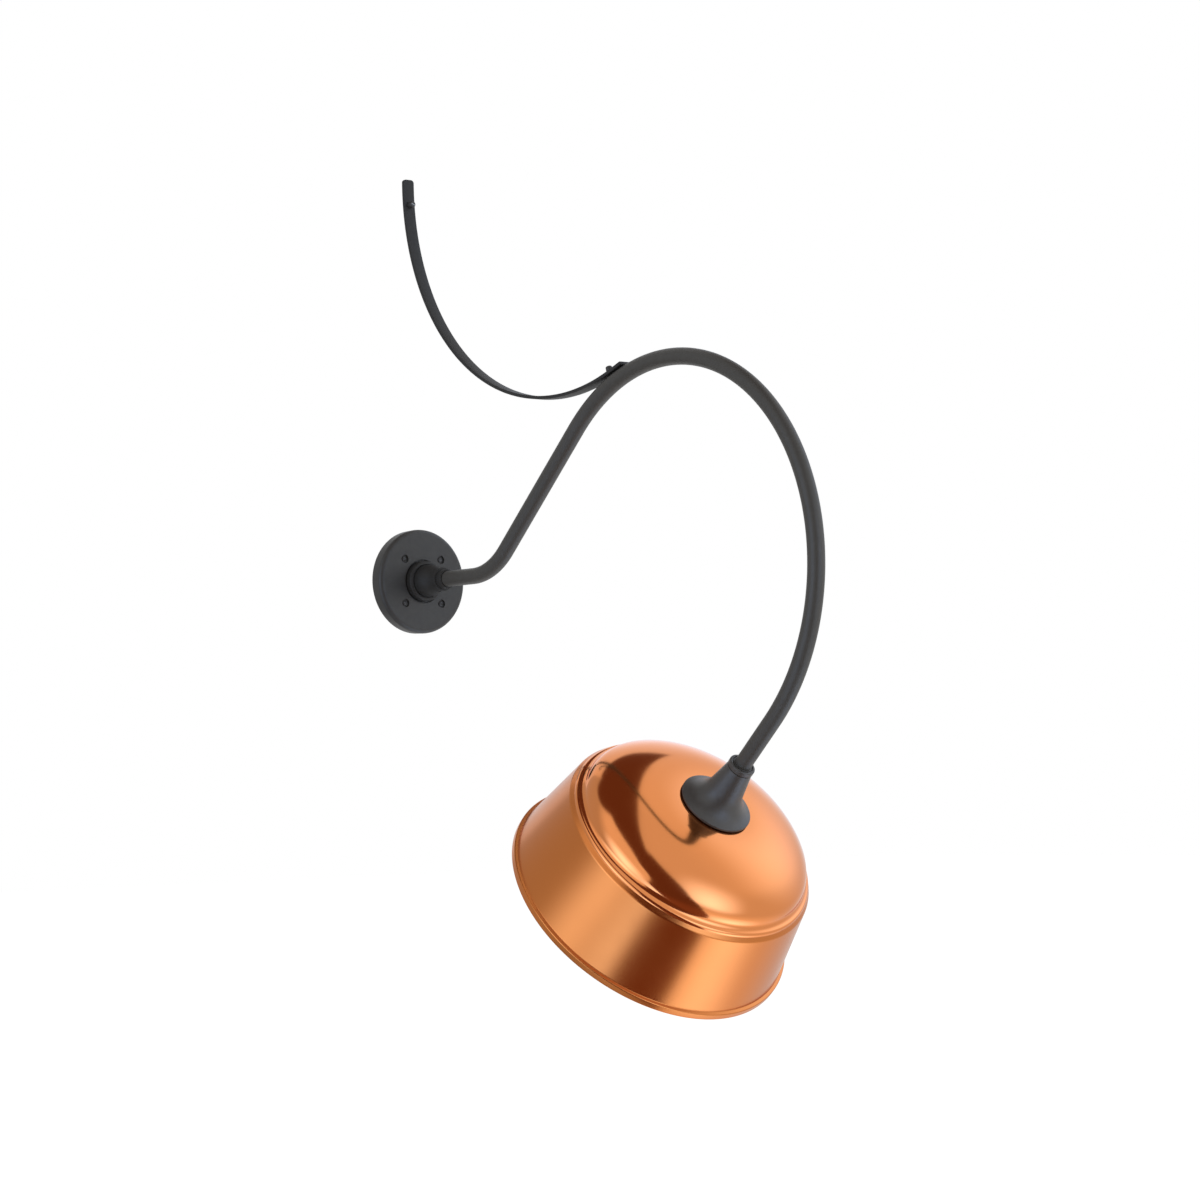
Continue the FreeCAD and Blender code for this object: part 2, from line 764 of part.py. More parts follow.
def threaded_nipple():
    return in_shade(ring(nipple_radius, nipple_bore_radius, nipple_bottom, web_top))


def backing_washer():
    return in_shade(ring(backing_washer_radius, nipple_radius + hole_clearance, backing_bottom, crown_inside))


def nipple_lock_washer():
    washer = ring(nipple_washer_radius, nipple_radius + hole_clearance, nipple_washer_bottom, backing_bottom)
    gap = Part.makeBox(nipple_washer_radius * 2, 1.2, nipple_washer_thickness * 3,
                       Vector(0, -0.6, nipple_washer_bottom - 1))
    return in_shade(washer.cut(gap))


def nipple_locknut():
    nut = hex_nut(nipple_nut_width, nipple_radius + thread_clearance, nipple_nut_bottom, nipple_washer_bottom)
    return in_shade(nut)


# ---------------------------------------------------------------- lamp holder

def holder_screw_places():
    middle = (porcelain_bore_radius + porcelain_radius) / 2
    return [(0, side * middle) for side in (-1, 1)]


def holder_cap():
    thread = nipple_radius + thread_clearance
    skirt_end = holder_disc_top - holder_cap_depth
    cap = revolved([
        (thread, holder_disc_bottom), (holder_cap_radius - holder_cap_sheet, holder_disc_bottom, 1.0),
        (holder_cap_radius - holder_cap_sheet, skirt_end), (holder_cap_radius, skirt_end),
        (holder_cap_radius, holder_disc_top, 2.0), (holder_boss_radius, holder_disc_top, 1.0),
        (holder_boss_radius, holder_top, 0.8), (thread, holder_top)])
    for x, y in holder_screw_places():
        cap = cap.cut(cylinder(holder_screw_radius + thread_clearance, holder_disc_bottom - 1,
                               holder_disc_top + 1, x, y))
    return in_shade(cap)


def porcelain_body():
    flange_top = porcelain_bottom + porcelain_flange_height
    body = revolved([
        (0, porcelain_ceiling), (porcelain_bore_radius, porcelain_ceiling),
        (porcelain_bore_radius, porcelain_bottom, 1.0), (porcelain_flange_radius, porcelain_bottom, 1.5),
        (porcelain_flange_radius, flange_top, 1.0), (porcelain_radius, flange_top, 0.6),
        (porcelain_radius, porcelain_top, 1.0), (0, porcelain_top)])
    for x, y in holder_screw_places():
        body = body.cut(cylinder(holder_screw_radius + hole_clearance, porcelain_bottom - 1,
                                 porcelain_top + 1, x, y))
        body = body.cut(cylinder(holder_screw_head_radius + hole_clearance, porcelain_bottom - 1,
                                 porcelain_bottom + holder_screw_head_height, x, y))
    for side in (-1, 1):
        body = body.cut(tab_box(side, hole_clearance))
    return in_shade(body)


def tab_box(side, spare=0.0):
    """The brass strip that runs from a terminal down through the floor of the porcelain."""
    width = 3.0 + 2 * spare
    thickness = 0.8 + 2 * spare
    bottom = porcelain_ceiling - 1.4 if side > 0 else porcelain_ceiling - 1.6
    return Part.makeBox(thickness, width, porcelain_top - bottom + spare,
                        Vector(side * (porcelain_bore_radius - 3.2) - thickness / 2, -width / 2, bottom))


def terminal(side):
    corner = Vector(side * terminal_offset - terminal_size / 2, -terminal_wire_inset, porcelain_top)
    block = Part.makeBox(terminal_size, terminal_length, terminal_thickness, corner)
    screw_hole = cylinder(terminal_screw_radius + thread_clearance, porcelain_top - 1, terminal_top + 1,
                          side * terminal_offset, terminal_screw_spacing)
    return block.cut(screw_hole)


def terminal_screws():
    screws = []
    for side in (-1, 1):
        screw = round_head_screw(terminal_screw_head_radius, 1.4, terminal_screw_radius, terminal_thickness)
        screw.translate(Vector(side * terminal_offset, terminal_screw_spacing, terminal_top))
        screws.append(screw)
    return in_shade(Part.makeCompound(screws))


def live_terminal():
    """Terminal block, strip and the sprung tongue that presses on the lamp's centre contact."""
    tongue_top = porcelain_ceiling - 1.4
    reach = porcelain_bore_radius - 3.2 + 0.4
    tongue = Part.makeBox(reach + 4, 5.0, 0.6, Vector(-4, -2.5, tongue_top - 0.6))
    button = cylinder(2.2, contact_tip + slip_clearance, tongue_top)
    return in_shade(terminal(1).fuse(tab_box(1)).fuse(tongue).fuse(button).removeSplitter())


def screw_shell():
    """Rolled brass shell that the lamp screws into, with the strip of the neutral terminal."""
    top = porcelain_ceiling - 2.0
    mid = thread_mid_radius + slip_clearance
    bottom = cap_bottom
    sleeve = threaded_sleeve(mid, shell_sheet, bottom, thread_turns)
    sleeve_top = bottom + thread_turns * thread_pitch
    upper = ring(mid + shell_sheet, mid, sleeve_top, top)
    rim = ring(mid + shell_sheet, porcelain_bore_radius - 4.6, top, top + 0.4)
    shell = sleeve.fuse(upper).fuse(rim)
    live_space = Part.makeBox(porcelain_bore_radius * 2, 7.0, 6.0, Vector(-5.4, -3.5, top - 0.1))
    return in_shade(shell.cut(live_space).fuse(tab_box(-1)).removeSplitter())


def neutral_terminal():
    return in_shade(terminal(-1))


def holder_screws():
    screws = []
    for x, y in holder_screw_places():
        seat = porcelain_bottom + holder_screw_head_height
        screw = round_head_screw(holder_screw_head_radius, holder_screw_head_height - 0.2, holder_screw_radius,
                                 holder_disc_top - seat)
        screw.rotate(Vector(), X_AXIS, 180)
        screw.translate(Vector(x, y, seat))
        screws.append(screw)
    return in_shade(Part.makeCompound(screws))


# ---------------------------------------------------------------- lamp bulb

def bulb_cap():
    sleeve = threaded_sleeve(thread_mid_radius - bulb_cap_sheet, bulb_cap_sheet, cap_bottom, thread_turns)
    mid = thread_mid_radius
    collar = ring(mid, mid - bulb_cap_sheet, glass_top, cap_bottom)
    crown = ring(mid, contact_radius + 2.6, cap_top, cap_top + bulb_cap_sheet)
    return in_shade(sleeve.fuse(collar).fuse(crown).removeSplitter())


def bulb_insulator():
    base = cap_top + bulb_cap_sheet
    wide = contact_radius + 4.6
    return in_shade(revolved([(0, base), (wide, base, 0.4), (contact_radius, insulator_base, 0.6),
                              (0, insulator_base)]))


def bulb_contact():
    return in_shade(revolved([(0, insulator_base), (contact_radius - 0.4, insulator_base),
                              (contact_radius - 1.6, contact_tip, 0.8), (0, contact_tip)]))


def bulb_glass():
    tip = glass_top - bulb_glass_length
    inner_neck = thread_mid_radius - thread_amplitude - bulb_cap_sheet - 0.05
    path = [(0, tip), (bulb_radius, tip, bulb_radius - 0.2),
            (bulb_radius, glass_top - bulb_shoulder - 16, 34.0),
            (bulb_neck_radius + 1.6, glass_top - 10, 30.0), (inner_neck, glass_top + 1, 4.0),
            (inner_neck, glass_top + 10)]
    return in_shade(sheet_metal(path, bulb_glass_wall))


def bulb_stem():
    top = glass_top + 9
    flare = thread_mid_radius - thread_amplitude - bulb_cap_sheet - bulb_glass_wall - 0.1
    return in_shade(revolved([(0, top - stem_length), (stem_radius, top - stem_length, 1.5),
                              (stem_radius, top - 4, 3.0), (flare, top), (0, top)]))


def bulb_filament():
    """Two support wires with the filament strung between them."""
    top = glass_top + 9 - stem_length
    low = top - 16.0
    wires = []
    for side in (-1, 1):
        route = Route(Vector(side * 2.0, 0, top), -Z_AXIS).straight(2.0)
        route.bend(8.0, 38, -Y_AXIS * side)
        route.straight((filament_span / 2 - 2.0 - 8.0 * (1 - math.cos(math.radians(38))))
                       / math.sin(math.radians(38)))
        wires.append(route.swept(filament_wire_radius))
        foot = route.point
    coil = Part.makeCylinder(0.9, 2 * foot.x, Vector(-foot.x, 0, foot.z - 0.3), X_AXIS)
    body = coil
    for wire in wires:
        body = body.fuse(wire)
    return in_shade(body)


# ---------------------------------------------------------------- wiring

def supply_lead(side):
    """One insulated wire, from its connector behind the hub to its terminal in the lamp holder."""
    depth = plate_depth - plate_face_thickness - hub_tail_length - 4.2
    start = Vector(side * (wire_nut_start + 6), -depth, 0)
    route = Route(start, -X_AXIS * side)
    route.straight(wire_nut_start + 6 - lead_offset - lead_bend_radius)
    route.bend(lead_bend_radius, 90, Z_AXIS * side)
    route.straight(stub_length - depth - lead_bend_radius)
    bend_arm(route)
    drop = lead_fan_drop()
    route.straight(tail_visible + fitter_top - terminal_top - drop)
    turn = Vector(0, math.cos(math.radians(tilt)), math.sin(math.radians(tilt))) * -side
    route.bend(lead_fan_radius, lead_fan_angle, turn)
    route.straight(lead_fan_run())
    route.bend(lead_fan_radius, lead_fan_angle, -turn)
    print("lead length %.0f mm, smallest bend %.1f mm" % (route.length(), lead_fan_radius))
    return route.swept(lead_radius)


def lead_fan_run():
    """Straight run between the two bends that spread the wires to their terminals."""
    fan = math.radians(lead_fan_angle)
    spread = terminal_offset - lead_offset
    return (spread - 2 * lead_fan_radius * (1 - math.cos(fan))) / math.sin(fan)


def lead_fan_drop():
    fan = math.radians(lead_fan_angle)
    return 2 * lead_fan_radius * math.sin(fan) + lead_fan_run() * math.cos(fan)


def wire_nuts():
    depth = plate_depth - plate_face_thickness - hub_tail_length - 4.2
    nuts = []
    for side in (-1, 1):
        nut = revolved([(0, 6.1), (lead_radius + thread_clearance, 6.1), (lead_radius + thread_clearance, 0),
                        (wire_nut_radius, 0, 0.5), (wire_nut_radius * 0.9, wire_nut_length * 0.45),
                        (wire_nut_radius * 0.62, wire_nut_length, 1.2), (0, wire_nut_length)])
        nuts.append(along(nut, Vector(side * wire_nut_start, -depth, 0), X_AXIS * side))
    return Part.makeCompound(nuts)


def parts():
    return {
        "wall_plate": wall_plate(),
        "wall_gasket": wall_gasket(),
        "mounting_bracket": mounting_bracket(),
        "plate_screws": plate_screws(),
        "ground_screw": ground_screw(),
        "arm_hub": arm_hub(),
        "hub_set_screw": hub_set_screw(),
        "hub_locknut": hub_locknut(),
        "arm_tube": arm_tube(),
        "brace_strap": brace_strap(),
        "brace_wall_screw": brace_wall_screw(),
        "brace_arm_screw": brace_arm_screw(),
        "brace_lock_washer": brace_lock_washer(),
        "neck_fitter": neck_fitter(),
        "fitter_set_screw": fitter_set_screw(),
        "fitter_gasket": fitter_gasket(),
        "shade": shade(),
        "threaded_nipple": threaded_nipple(),
        "backing_washer": backing_washer(),
        "nipple_lock_washer": nipple_lock_washer(),
        "nipple_locknut": nipple_locknut(),
        "holder_cap": holder_cap(),
        "porcelain_body": porcelain_body(),
        "live_terminal": live_terminal(),
        "neutral_terminal": neutral_terminal(),
        "terminal_screws": terminal_screws(),
        "screw_shell": screw_shell(),
        "holder_screws": holder_screws(),
        "live_lead": supply_lead(1),
        "neutral_lead": supply_lead(-1),
        "wire_nuts": wire_nuts(),
        "bulb_cap": bulb_cap(),
        "bulb_insulator": bulb_insulator(),
        "bulb_contact": bulb_contact(),
        "bulb_glass": bulb_glass(),
        "bulb_stem": bulb_stem(),
        "bulb_filament": bulb_filament(),
    }


os.makedirs("parts", exist_ok=True)
for name, shape in parts().items():
    shape.exportStep("parts/%s.step" % name)
    print("%-20s solids %d valid %s volume %.1f" % (name, len(shape.Solids), shape.isValid(), shape.Volume))
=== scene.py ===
import json
import math

import bmesh
import bpy
from mathutils import Matrix, Vector


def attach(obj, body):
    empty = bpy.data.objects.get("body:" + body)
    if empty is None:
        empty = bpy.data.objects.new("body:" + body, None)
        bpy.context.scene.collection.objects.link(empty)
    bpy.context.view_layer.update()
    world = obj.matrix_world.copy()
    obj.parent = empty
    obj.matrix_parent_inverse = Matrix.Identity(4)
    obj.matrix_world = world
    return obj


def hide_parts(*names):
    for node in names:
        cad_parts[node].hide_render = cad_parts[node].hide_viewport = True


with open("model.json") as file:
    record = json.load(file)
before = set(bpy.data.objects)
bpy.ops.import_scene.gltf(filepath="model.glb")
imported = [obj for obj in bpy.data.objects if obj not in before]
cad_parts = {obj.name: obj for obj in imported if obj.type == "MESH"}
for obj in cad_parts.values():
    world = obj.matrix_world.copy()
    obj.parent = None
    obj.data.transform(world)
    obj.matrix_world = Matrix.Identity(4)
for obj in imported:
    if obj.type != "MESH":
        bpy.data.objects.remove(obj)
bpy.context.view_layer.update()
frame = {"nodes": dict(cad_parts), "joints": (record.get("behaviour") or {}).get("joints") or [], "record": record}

# Gooseneck wall sconce. Sizes are written in millimetres and turned to metres where a mesh is made.
# The wall is the plane Y = 0, the lamp reaches out along -Y, and the arm, brace and shade lie in X = 0.
MM = 0.001

# ---- fits and edges ----
THREAD_CLEARANCE = 0.05      # a pipe or a nipple in its threaded hole, on the radius
SLIP_CLEARANCE = 0.3
FINE_EDGE = 0.3              # a turned edge, just broken
CAST_EDGE = 0.6              # an edge of a casting
CREASE = math.radians(32)    # faces that meet at more than this keep a sharp edge

# ---- wall plate ----
PLATE_BACK_RADIUS = 69.5
PLATE_FRONT_RADIUS = 70.3
PLATE_DEPTH = 20.7
PLATE_BACK_ROUNDING = 0.5
PLATE_EDGE_RADIUS = 6.5
PLATE_INSIDE_ROUNDING = 3.0
PLATE_FACE_THICKNESS = 3.4
PLATE_WALL = 5.5
PLATE_STEPS = 192
GASKET_WIDTH = 3.0
GASKET_DEPTH = 3.0
SCREW_SQUARE = 59.4
SCREW_RECESS_RADIUS = 5.8
SCREW_RECESS_DEPTH = 2.6
SCREW_HOLE_RADIUS = 2.7

# ---- hub ----
HUB_SEAT_DEPTH = 3.0
HUB_SEAT_RADIUS = 29.1
HUB_FLANGE_RADIUS = 27.2
HUB_FLANGE_RISE = 9.2        # above the face of the plate
HUB_FLANGE_ROUNDING = 4.2
HUB_GROOVE_DEPTH = 1.6
HUB_GROOVE_WIDTH = 0.9
HUB_GROOVE_ROUNDING = 0.2
HUB_NECK_RADIUS = 21.6
HUB_NECK_LENGTH = 20.0
HUB_RADIUS = 15.9
HUB_RADIUS_START = 33.0
HUB_SWELL_ROUNDING = 30.0
HUB_LENGTH = 46.3
HUB_CHAMFER = 1.0
HUB_COLLAR_RADIUS = 12.9
HUB_COLLAR_LENGTH = 9.6
HUB_COLLAR_ROUNDING = 0.4
HUB_TAIL_RADIUS = 14.4
HUB_TAIL_LENGTH = 6.8
HUB_TAIL_ROUNDING = 0.8
HUB_SHOULDER_DEPTH = 38.0
HUB_SCREW_RADIUS = 2.55
HUB_SCREW_FROM_END = 8.6
HUB_SCREW_DEPTH = 10.4
HUB_STEPS = 128

# ---- arm ----
TUBE_RADIUS = 10.65
TUBE_WALL = 2.75
STUB_LENGTH = 132.1
RISE_RADIUS = 104.0
RISE_ANGLE = math.radians(43.53)
RISE_LENGTH = 208.8
ARCH_RADIUS = 261.0
ARCH_ANGLE = math.radians(180.78)
TAIL_LENGTH = 103.7          # 31 of it inside the fitter
TUBE_SIDES = 64
RISE_STEPS = 32
ARCH_STEPS = 144

# ---- brace and its two screw heads ----
BRACE_WIDTH = 17.2
BRACE_THICKNESS = 4.2
BRACE_RADIUS = 321.0
BRACE_FLAT_TOP = 8.7         # straight end above the curve
BRACE_TIP = 19.5
BRACE_TOP_ROUNDING = 4.5
BRACE_TIP_ROUNDING = 1.6
BRACE_EDGE_ROUNDING = 0.45
BRACE_CORNER_ANGLE = math.radians(40)
BRACE_CREASE = math.radians(50)
BRACE_STEPS = 72
BRACE_SEAT_GAP = 0.2
BRACE_SCREW_FROM_TOP = 35.0
BRACE_SCREW_BACK = 11.5      # from the touching point back along the brace
BRACE_HEAD_RADIUS = 4.3
BRACE_HEAD_HEIGHT = 8.8
BRACE_HEAD_ROUNDING = 1.9
# A thin bright bar across the wall screw's head: a painted glint.
BRACE_GLINT_WIDTH = 0.8
BRACE_GLINT_DEPTH = 0.2
BRACE_GLINT_SPARE = 1.5
BRACE_GLINT_TURN = math.radians(-22)

# ---- shade, heights from its rim ----
SHEET = 1.2
RIM_RADIUS = 186.9
RIM_LIP = 3.0
RIM_BAND_HEIGHT = 8.6
RIM_ROUNDING = 1.5
SKIRT_BOTTOM = (182.3, 9.8)
SKIRT_BOTTOM_ROUNDING = 1.0
SKIRT_TOP = (163.6, 112.6)
SHOULDER_ROUNDING = 5.0
GROOVE = (159.3, 117.2)
GROOVE_ROUNDING = 0.6
BEAD_EDGE = (158.9, 121.0)
BEAD_ROUNDING = 4.4
COVE_REACH = 5.4
COVE_ROUNDING = 8.8
CROWN_RADIUS = 150.0
CROWN_FOOT = 125.1
CROWN_ARCS = ((24.0, 45), (92.5, 17), (155.5, 28))    # radius and turn in degrees, from foot to top
CROWN_EASING = 9.0           # degrees over which one arc passes into the next
CROWN_START = 10             # slope at the end of the cove, in degrees from upright
SHADE_HEIGHT = 176.54
NIPPLE_HOLE = 6.8
SHADE_CREASE = math.radians(60)
SHADE_STEPS = 240

# ---- fitter and the seal under it ----
SEAL_RADIUS = 44.6
SEAL_WIDTH = 6.0
SEAL_THICKNESS = 1.2
SEAL_STEPS = 128
GASKET_TOP = SHADE_HEIGHT + SEAL_THICKNESS
FITTER_HEIGHT = 69.7
FITTER_TOP = GASKET_TOP + FITTER_HEIGHT
FITTER_SOCKET_DEPTH = 31.0
FITTER_BASE_RADIUS = 46.0
FITTER_BASE_EDGE = 2.7
FITTER_BASE_ROUNDING = 1.1
FITTER_WALL = 3.2
FITTER_FLARE = (25.4, 12.2)  # corner of the bell's curve: radius, and height above the seal
FITTER_FLARE_ROUNDING = 36.0
FITTER_NECK_RADIUS = 16.3
FITTER_COLLAR_RADIUS = 16.8
FITTER_COLLAR_HEIGHT = 6.4
FITTER_COLLAR_GROOVE = 0.9
FITTER_COLLAR_SLOPE = 0.3
FITTER_TOP_ROUNDING = 1.6
FITTER_LIP = 1.5             # wall left round the pipe, inside the ring groove
FITTER_RING_WIDTH = 1.2
FITTER_RING_DEPTH = 1.4
FITTER_WIRE_RADIUS = 8.2
FITTER_NIPPLE_RADIUS = 6.5
FITTER_WEB_BOTTOM = 12.5
FITTER_WEB_TOP = 27.5
FITTER_HOLLOW_RADIUS = 41.8
FITTER_HOLLOW_BOTTOM = 2.0
FITTER_HOLLOW_ROUNDING = 6.0
FITTER_STEPS = 160

# ---- fineness of the meshes ----
POINTS_PER_TURN = 96
LEAST_ARC_STEPS = 4
LEAST_ROUNDING = 0.15
DRILL_SIDES = 48
CORNER_SEGMENTS = 8
EDGE_SEGMENTS = 3
HEAD_SEGMENTS = 6
SAME_PLACE = 0.01
MERGE_DISTANCE = 0.0005
FLAT_EDGE = 0.0001


# ---------------------------------------------------------------- materials

def linear(code):
    """An sRGB hex colour as the linear colour that a shader takes."""
    values = [int(code[i:i + 2], 16) / 255 for i in (1, 3, 5)]
    return tuple(v / 12.92 if v <= 0.04045 else ((v + 0.055) / 1.055) ** 2.4 for v in values) + (1.0,)


def add_node(tree, kind, inputs=None, **settings):
    """Adds a node, sets its properties, and gives each input a constant or a link from a socket."""
    made = tree.nodes.new(kind)
    for name, value in settings.items():
        setattr(made, name, value)
    for name, value in (inputs or {}).items():
        if isinstance(value, bpy.types.NodeSocket):
            tree.links.new(value, made.inputs[name])
        else:
            made.inputs[name].default_value = value
    return made


def new_material(name, base, metallic=0.0, roughness=0.5, **sockets):
    """A material with one Principled shader, whose constants are set on its own sockets."""
    made = bpy.data.materials.new(name)
    made.use_nodes = True
    shader = made.node_tree.nodes["Principled BSDF"]
    shader.inputs["Base Color"].default_value = linear(base)
    shader.inputs["Metallic"].default_value = metallic
    shader.inputs["Roughness"].default_value = roughness
    for socket, value in sockets.items():
        shader.inputs[socket.replace("_", " ")].default_value = value
    return made


def patches(tree, size_mm, detail):
    """Cloudy patches of a real size, fixed to the object."""
    place = add_node(tree, "ShaderNodeTexCoord").outputs["Object"]
    return add_node(tree, "ShaderNodeTexNoise",
                    {"Vector": place, "Scale": 1 / (size_mm * MM), "Detail": detail}).outputs["Fac"]


def mottle(made, dark, light, grain_mm):
    """Varies the base colour between two close tones in patches of a real size."""
    tree = made.node_tree
    spread = add_node(tree, "ShaderNodeMapRange",
                      {"Value": patches(tree, grain_mm, 3.0), "From Min": 0.25, "From Max": 0.75})
    mix = add_node(tree, "ShaderNodeMix",
                   {"Factor": spread.outputs["Result"], "A": linear(dark), "B": linear(light)},
                   data_type="RGBA")
    tree.links.new(mix.outputs["Result"], tree.nodes["Principled BSDF"].inputs["Base Color"])


def uneven(made, low, high, grain_mm):
    """Varies the roughness between two values in patches of a real size."""
    tree = made.node_tree
    spread = add_node(tree, "ShaderNodeMapRange",
                      {"Value": patches(tree, grain_mm, 4.0), "From Min": 0.3, "From Max": 0.7,
                       "To Min": low, "To Max": high})
    tree.links.new(spread.outputs["Result"], tree.nodes["Principled BSDF"].inputs["Roughness"])
    return made


def textured(made, grain_mm, depth_mm):
    """Raises a fine bump whose grain and depth are real sizes."""
    tree = made.node_tree
    bump = add_node(tree, "ShaderNodeBump",
                    {"Height": patches(tree, grain_mm, 2.0), "Strength": 1.0, "Distance": depth_mm * MM})
    tree.links.new(bump.outputs["Normal"], tree.nodes["Principled BSDF"].inputs["Normal"])
    return made


def powder_coated(name, dark, light, roughness=0.48, sheen=0.4):
    # Sprayed and baked powder: matte, near black, with a faint grain like fine orange peel.
    # The wall plate has the plain tone. The other pieces get copies of it: lighter on the pipe and the fitter as
    # painted light, darker on the hub and the brace as painted shade.
    made = new_material(name, dark, 0.0, roughness, Specular_IOR_Level=sheen)
    mottle(made, dark, light, 9.0)
    uneven(made, roughness - 0.04, roughness + 0.04, 2.5)
    return textured(made, 0.9, 0.035)


def blackened_steel():
    # Black oxide screws: a little smoother than the powder coat, so their heads catch a point of light.
    return uneven(new_material("blackened_steel", "#3c3c3d", 0.0, 0.38), 0.32, 0.45, 0.8)


COPPER_BUFFED = "#e48e54"
# The satin skirt's tone is darker than the crown's: painted shade.
COPPER_SATIN_PAINTED_SHADE = "#cc7a40"
BUFFED_FROM = GROOVE[1] - 0.8
BUFFED_TO = GROOVE[1] + 1
BUFFED_ROUGHNESS = 0.125
SATIN_ROUGHNESS = 0.24
HANDLING = 0.012             # how much the roughness wanders where the sheet was handled
HANDLING_SIZE = 35
RING_SPACING = 1.4
RING_DEPTH = 0.004
RING_FADE = 8.0


def spun_copper():
    # Sheet copper spun on a lathe: the crown is buffed to a mirror, the skirt keeps a satin finish
    # with fine rings left by the roller, and clear lacquer keeps it bright.
    made = new_material("spun_copper", COPPER_BUFFED, 1.0, 0.2)
    tree = made.node_tree
    shader = tree.nodes["Principled BSDF"]
    place = add_node(tree, "ShaderNodeTexCoord").outputs["Object"]
    turned = add_node(tree, "ShaderNodeMapping",
                      {"Vector": place, "Location": tuple(RIM_CENTRE), "Rotation": (TILT, 0, 0)},
                      vector_type="TEXTURE")
    height = add_node(tree, "ShaderNodeSeparateXYZ", {"Vector": turned.outputs["Vector"]}).outputs["Z"]

    # The buffing starts in the groove above the skirt. Below it the satin skirt's tone is painted darker than the
    # buffed crown's, as painted shade.
    buffed = add_node(tree, "ShaderNodeMapRange",
                      {"Value": height, "From Min": BUFFED_FROM * MM, "From Max": BUFFED_TO * MM})
    tone = add_node(tree, "ShaderNodeMix",
                    {"Factor": buffed.outputs["Result"], "A": linear(COPPER_SATIN_PAINTED_SHADE),
                     "B": linear(COPPER_BUFFED)}, data_type="RGBA")
    tree.links.new(tone.outputs["Result"], shader.inputs["Base Color"])
    finish = add_node(tree, "ShaderNodeMapRange",
                      {"Value": height, "From Min": BUFFED_FROM * MM, "From Max": BUFFED_TO * MM,
                       "To Min": SATIN_ROUGHNESS, "To Max": BUFFED_ROUGHNESS},
                      interpolation_type="SMOOTHSTEP")
    wander = add_node(tree, "ShaderNodeMapRange",
                      {"Value": patches(tree, HANDLING_SIZE, 3.0), "From Min": 0.3, "From Max": 0.7,
                       "To Min": -HANDLING, "To Max": HANDLING})
    rough = add_node(tree, "ShaderNodeMath", {0: finish.outputs["Result"], 1: wander.outputs["Result"]},
                     operation="ADD")
    tree.links.new(rough.outputs["Value"], shader.inputs["Roughness"])

    # The roller's rings fade out over the shoulder.
    rings = add_node(tree, "ShaderNodeTexNoise",
                     {"W": height, "Scale": 1 / (RING_SPACING * MM), "Detail": 2.0},
                     noise_dimensions="1D")
    strength = add_node(tree, "ShaderNodeMapRange",
                        {"Value": height, "From Min": SKIRT_TOP[1] * MM,
                         "From Max": (SKIRT_TOP[1] + RING_FADE) * MM, "To Min": 0.5, "To Max": 0.0})
    bump = add_node(tree, "ShaderNodeBump",
                    {"Height": rings.outputs["Fac"], "Strength": strength.outputs["Result"],
                     "Distance": RING_DEPTH * MM})
    tree.links.new(bump.outputs["Normal"], shader.inputs["Normal"])
    return made


def moulded_rubber():
    # Moulded EPDM seal: dull black with a soft edge to its highlights.
    return textured(new_material("moulded_rubber", "#161616", 0.0, 0.75), 1.2, 0.03)


def zinc_plated_steel():
    # Electroplated zinc: grey with a faint blue cast, cloudy in patches.
    made = new_material("zinc_plated_steel", "#a9adb2", 1.0, 0.34)
    mottle(made, "#9da1a6", "#b6b9bc", 6.0)
    return uneven(made, 0.28, 0.42, 4.0)


def rolled_brass():
    # Thin rolled brass, bright but handled.
    return uneven(new_material("rolled_brass", "#c9a254", 1.0, 0.25), 0.2, 0.34, 5.0)


def tinned_brass():
    # Brass dipped in tin: silvery, with soft clouds where the tin ran.
    return uneven(new_material("tinned_brass", "#c9cac8", 1.0, 0.3), 0.25, 0.36, 3.0)


def glazed_porcelain():
    # Electrical porcelain: white body under a clear glaze that pools slightly.
    made = new_material("glazed_porcelain", "#ece8df", 0.0, 0.12, Coat_Weight=0.6, Coat_Roughness=0.05)
    mottle(made, "#e8e4da", "#f0ede5", 14.0)
    return textured(made, 7.0, 0.04)


def drawn_pvc(name, tone):
    # Extruded PVC insulation, smooth with a low gloss.
    return textured(new_material(name, tone, 0.0, 0.42), 3.0, 0.02)


def moulded_nylon():
    # Moulded nylon connector: clean colour with a half-gloss skin.
    return textured(new_material("moulded_nylon", "#d9812b", 0.0, 0.45), 1.0, 0.02)


def vitrite_glass():
    # Black glass poured into the bulb's cap: shiny, with dull spots.
    return uneven(new_material("vitrite_glass", "#1a151f", 0.0, 0.12), 0.08, 0.2, 3.0)


def blown_glass():
    # Clear soda-lime glass, blown thin.
    made = new_material("blown_glass", "#fbfbf8", 0.0, 0.0, Transmission_Weight=1.0, IOR=1.5)
    return uneven(made, 0.0, 0.02, 20.0)


def pressed_glass():
    # Glass stem pressed in the flame: clear, with a slightly rippled skin.
    made = new_material("pressed_glass", "#f2f5f1", 0.0, 0.05, Transmission_Weight=0.9, IOR=1.52)
    return uneven(made, 0.03, 0.1, 4.0)


def drawn_tungsten():
    # Drawn wire: dark grey metal with a dull shine.
    return uneven(new_material("drawn_tungsten", "#5d5d60", 1.0, 0.35), 0.3, 0.45, 1.0)


def green_plated_steel():
    # Earth screw, plated and dyed green: the metal shines through the dye.
    return uneven(new_material("green_plated_steel", "#2f8a4a", 1.0, 0.3), 0.25, 0.4, 2.0)


# ---------------------------------------------------------------- mesh helpers

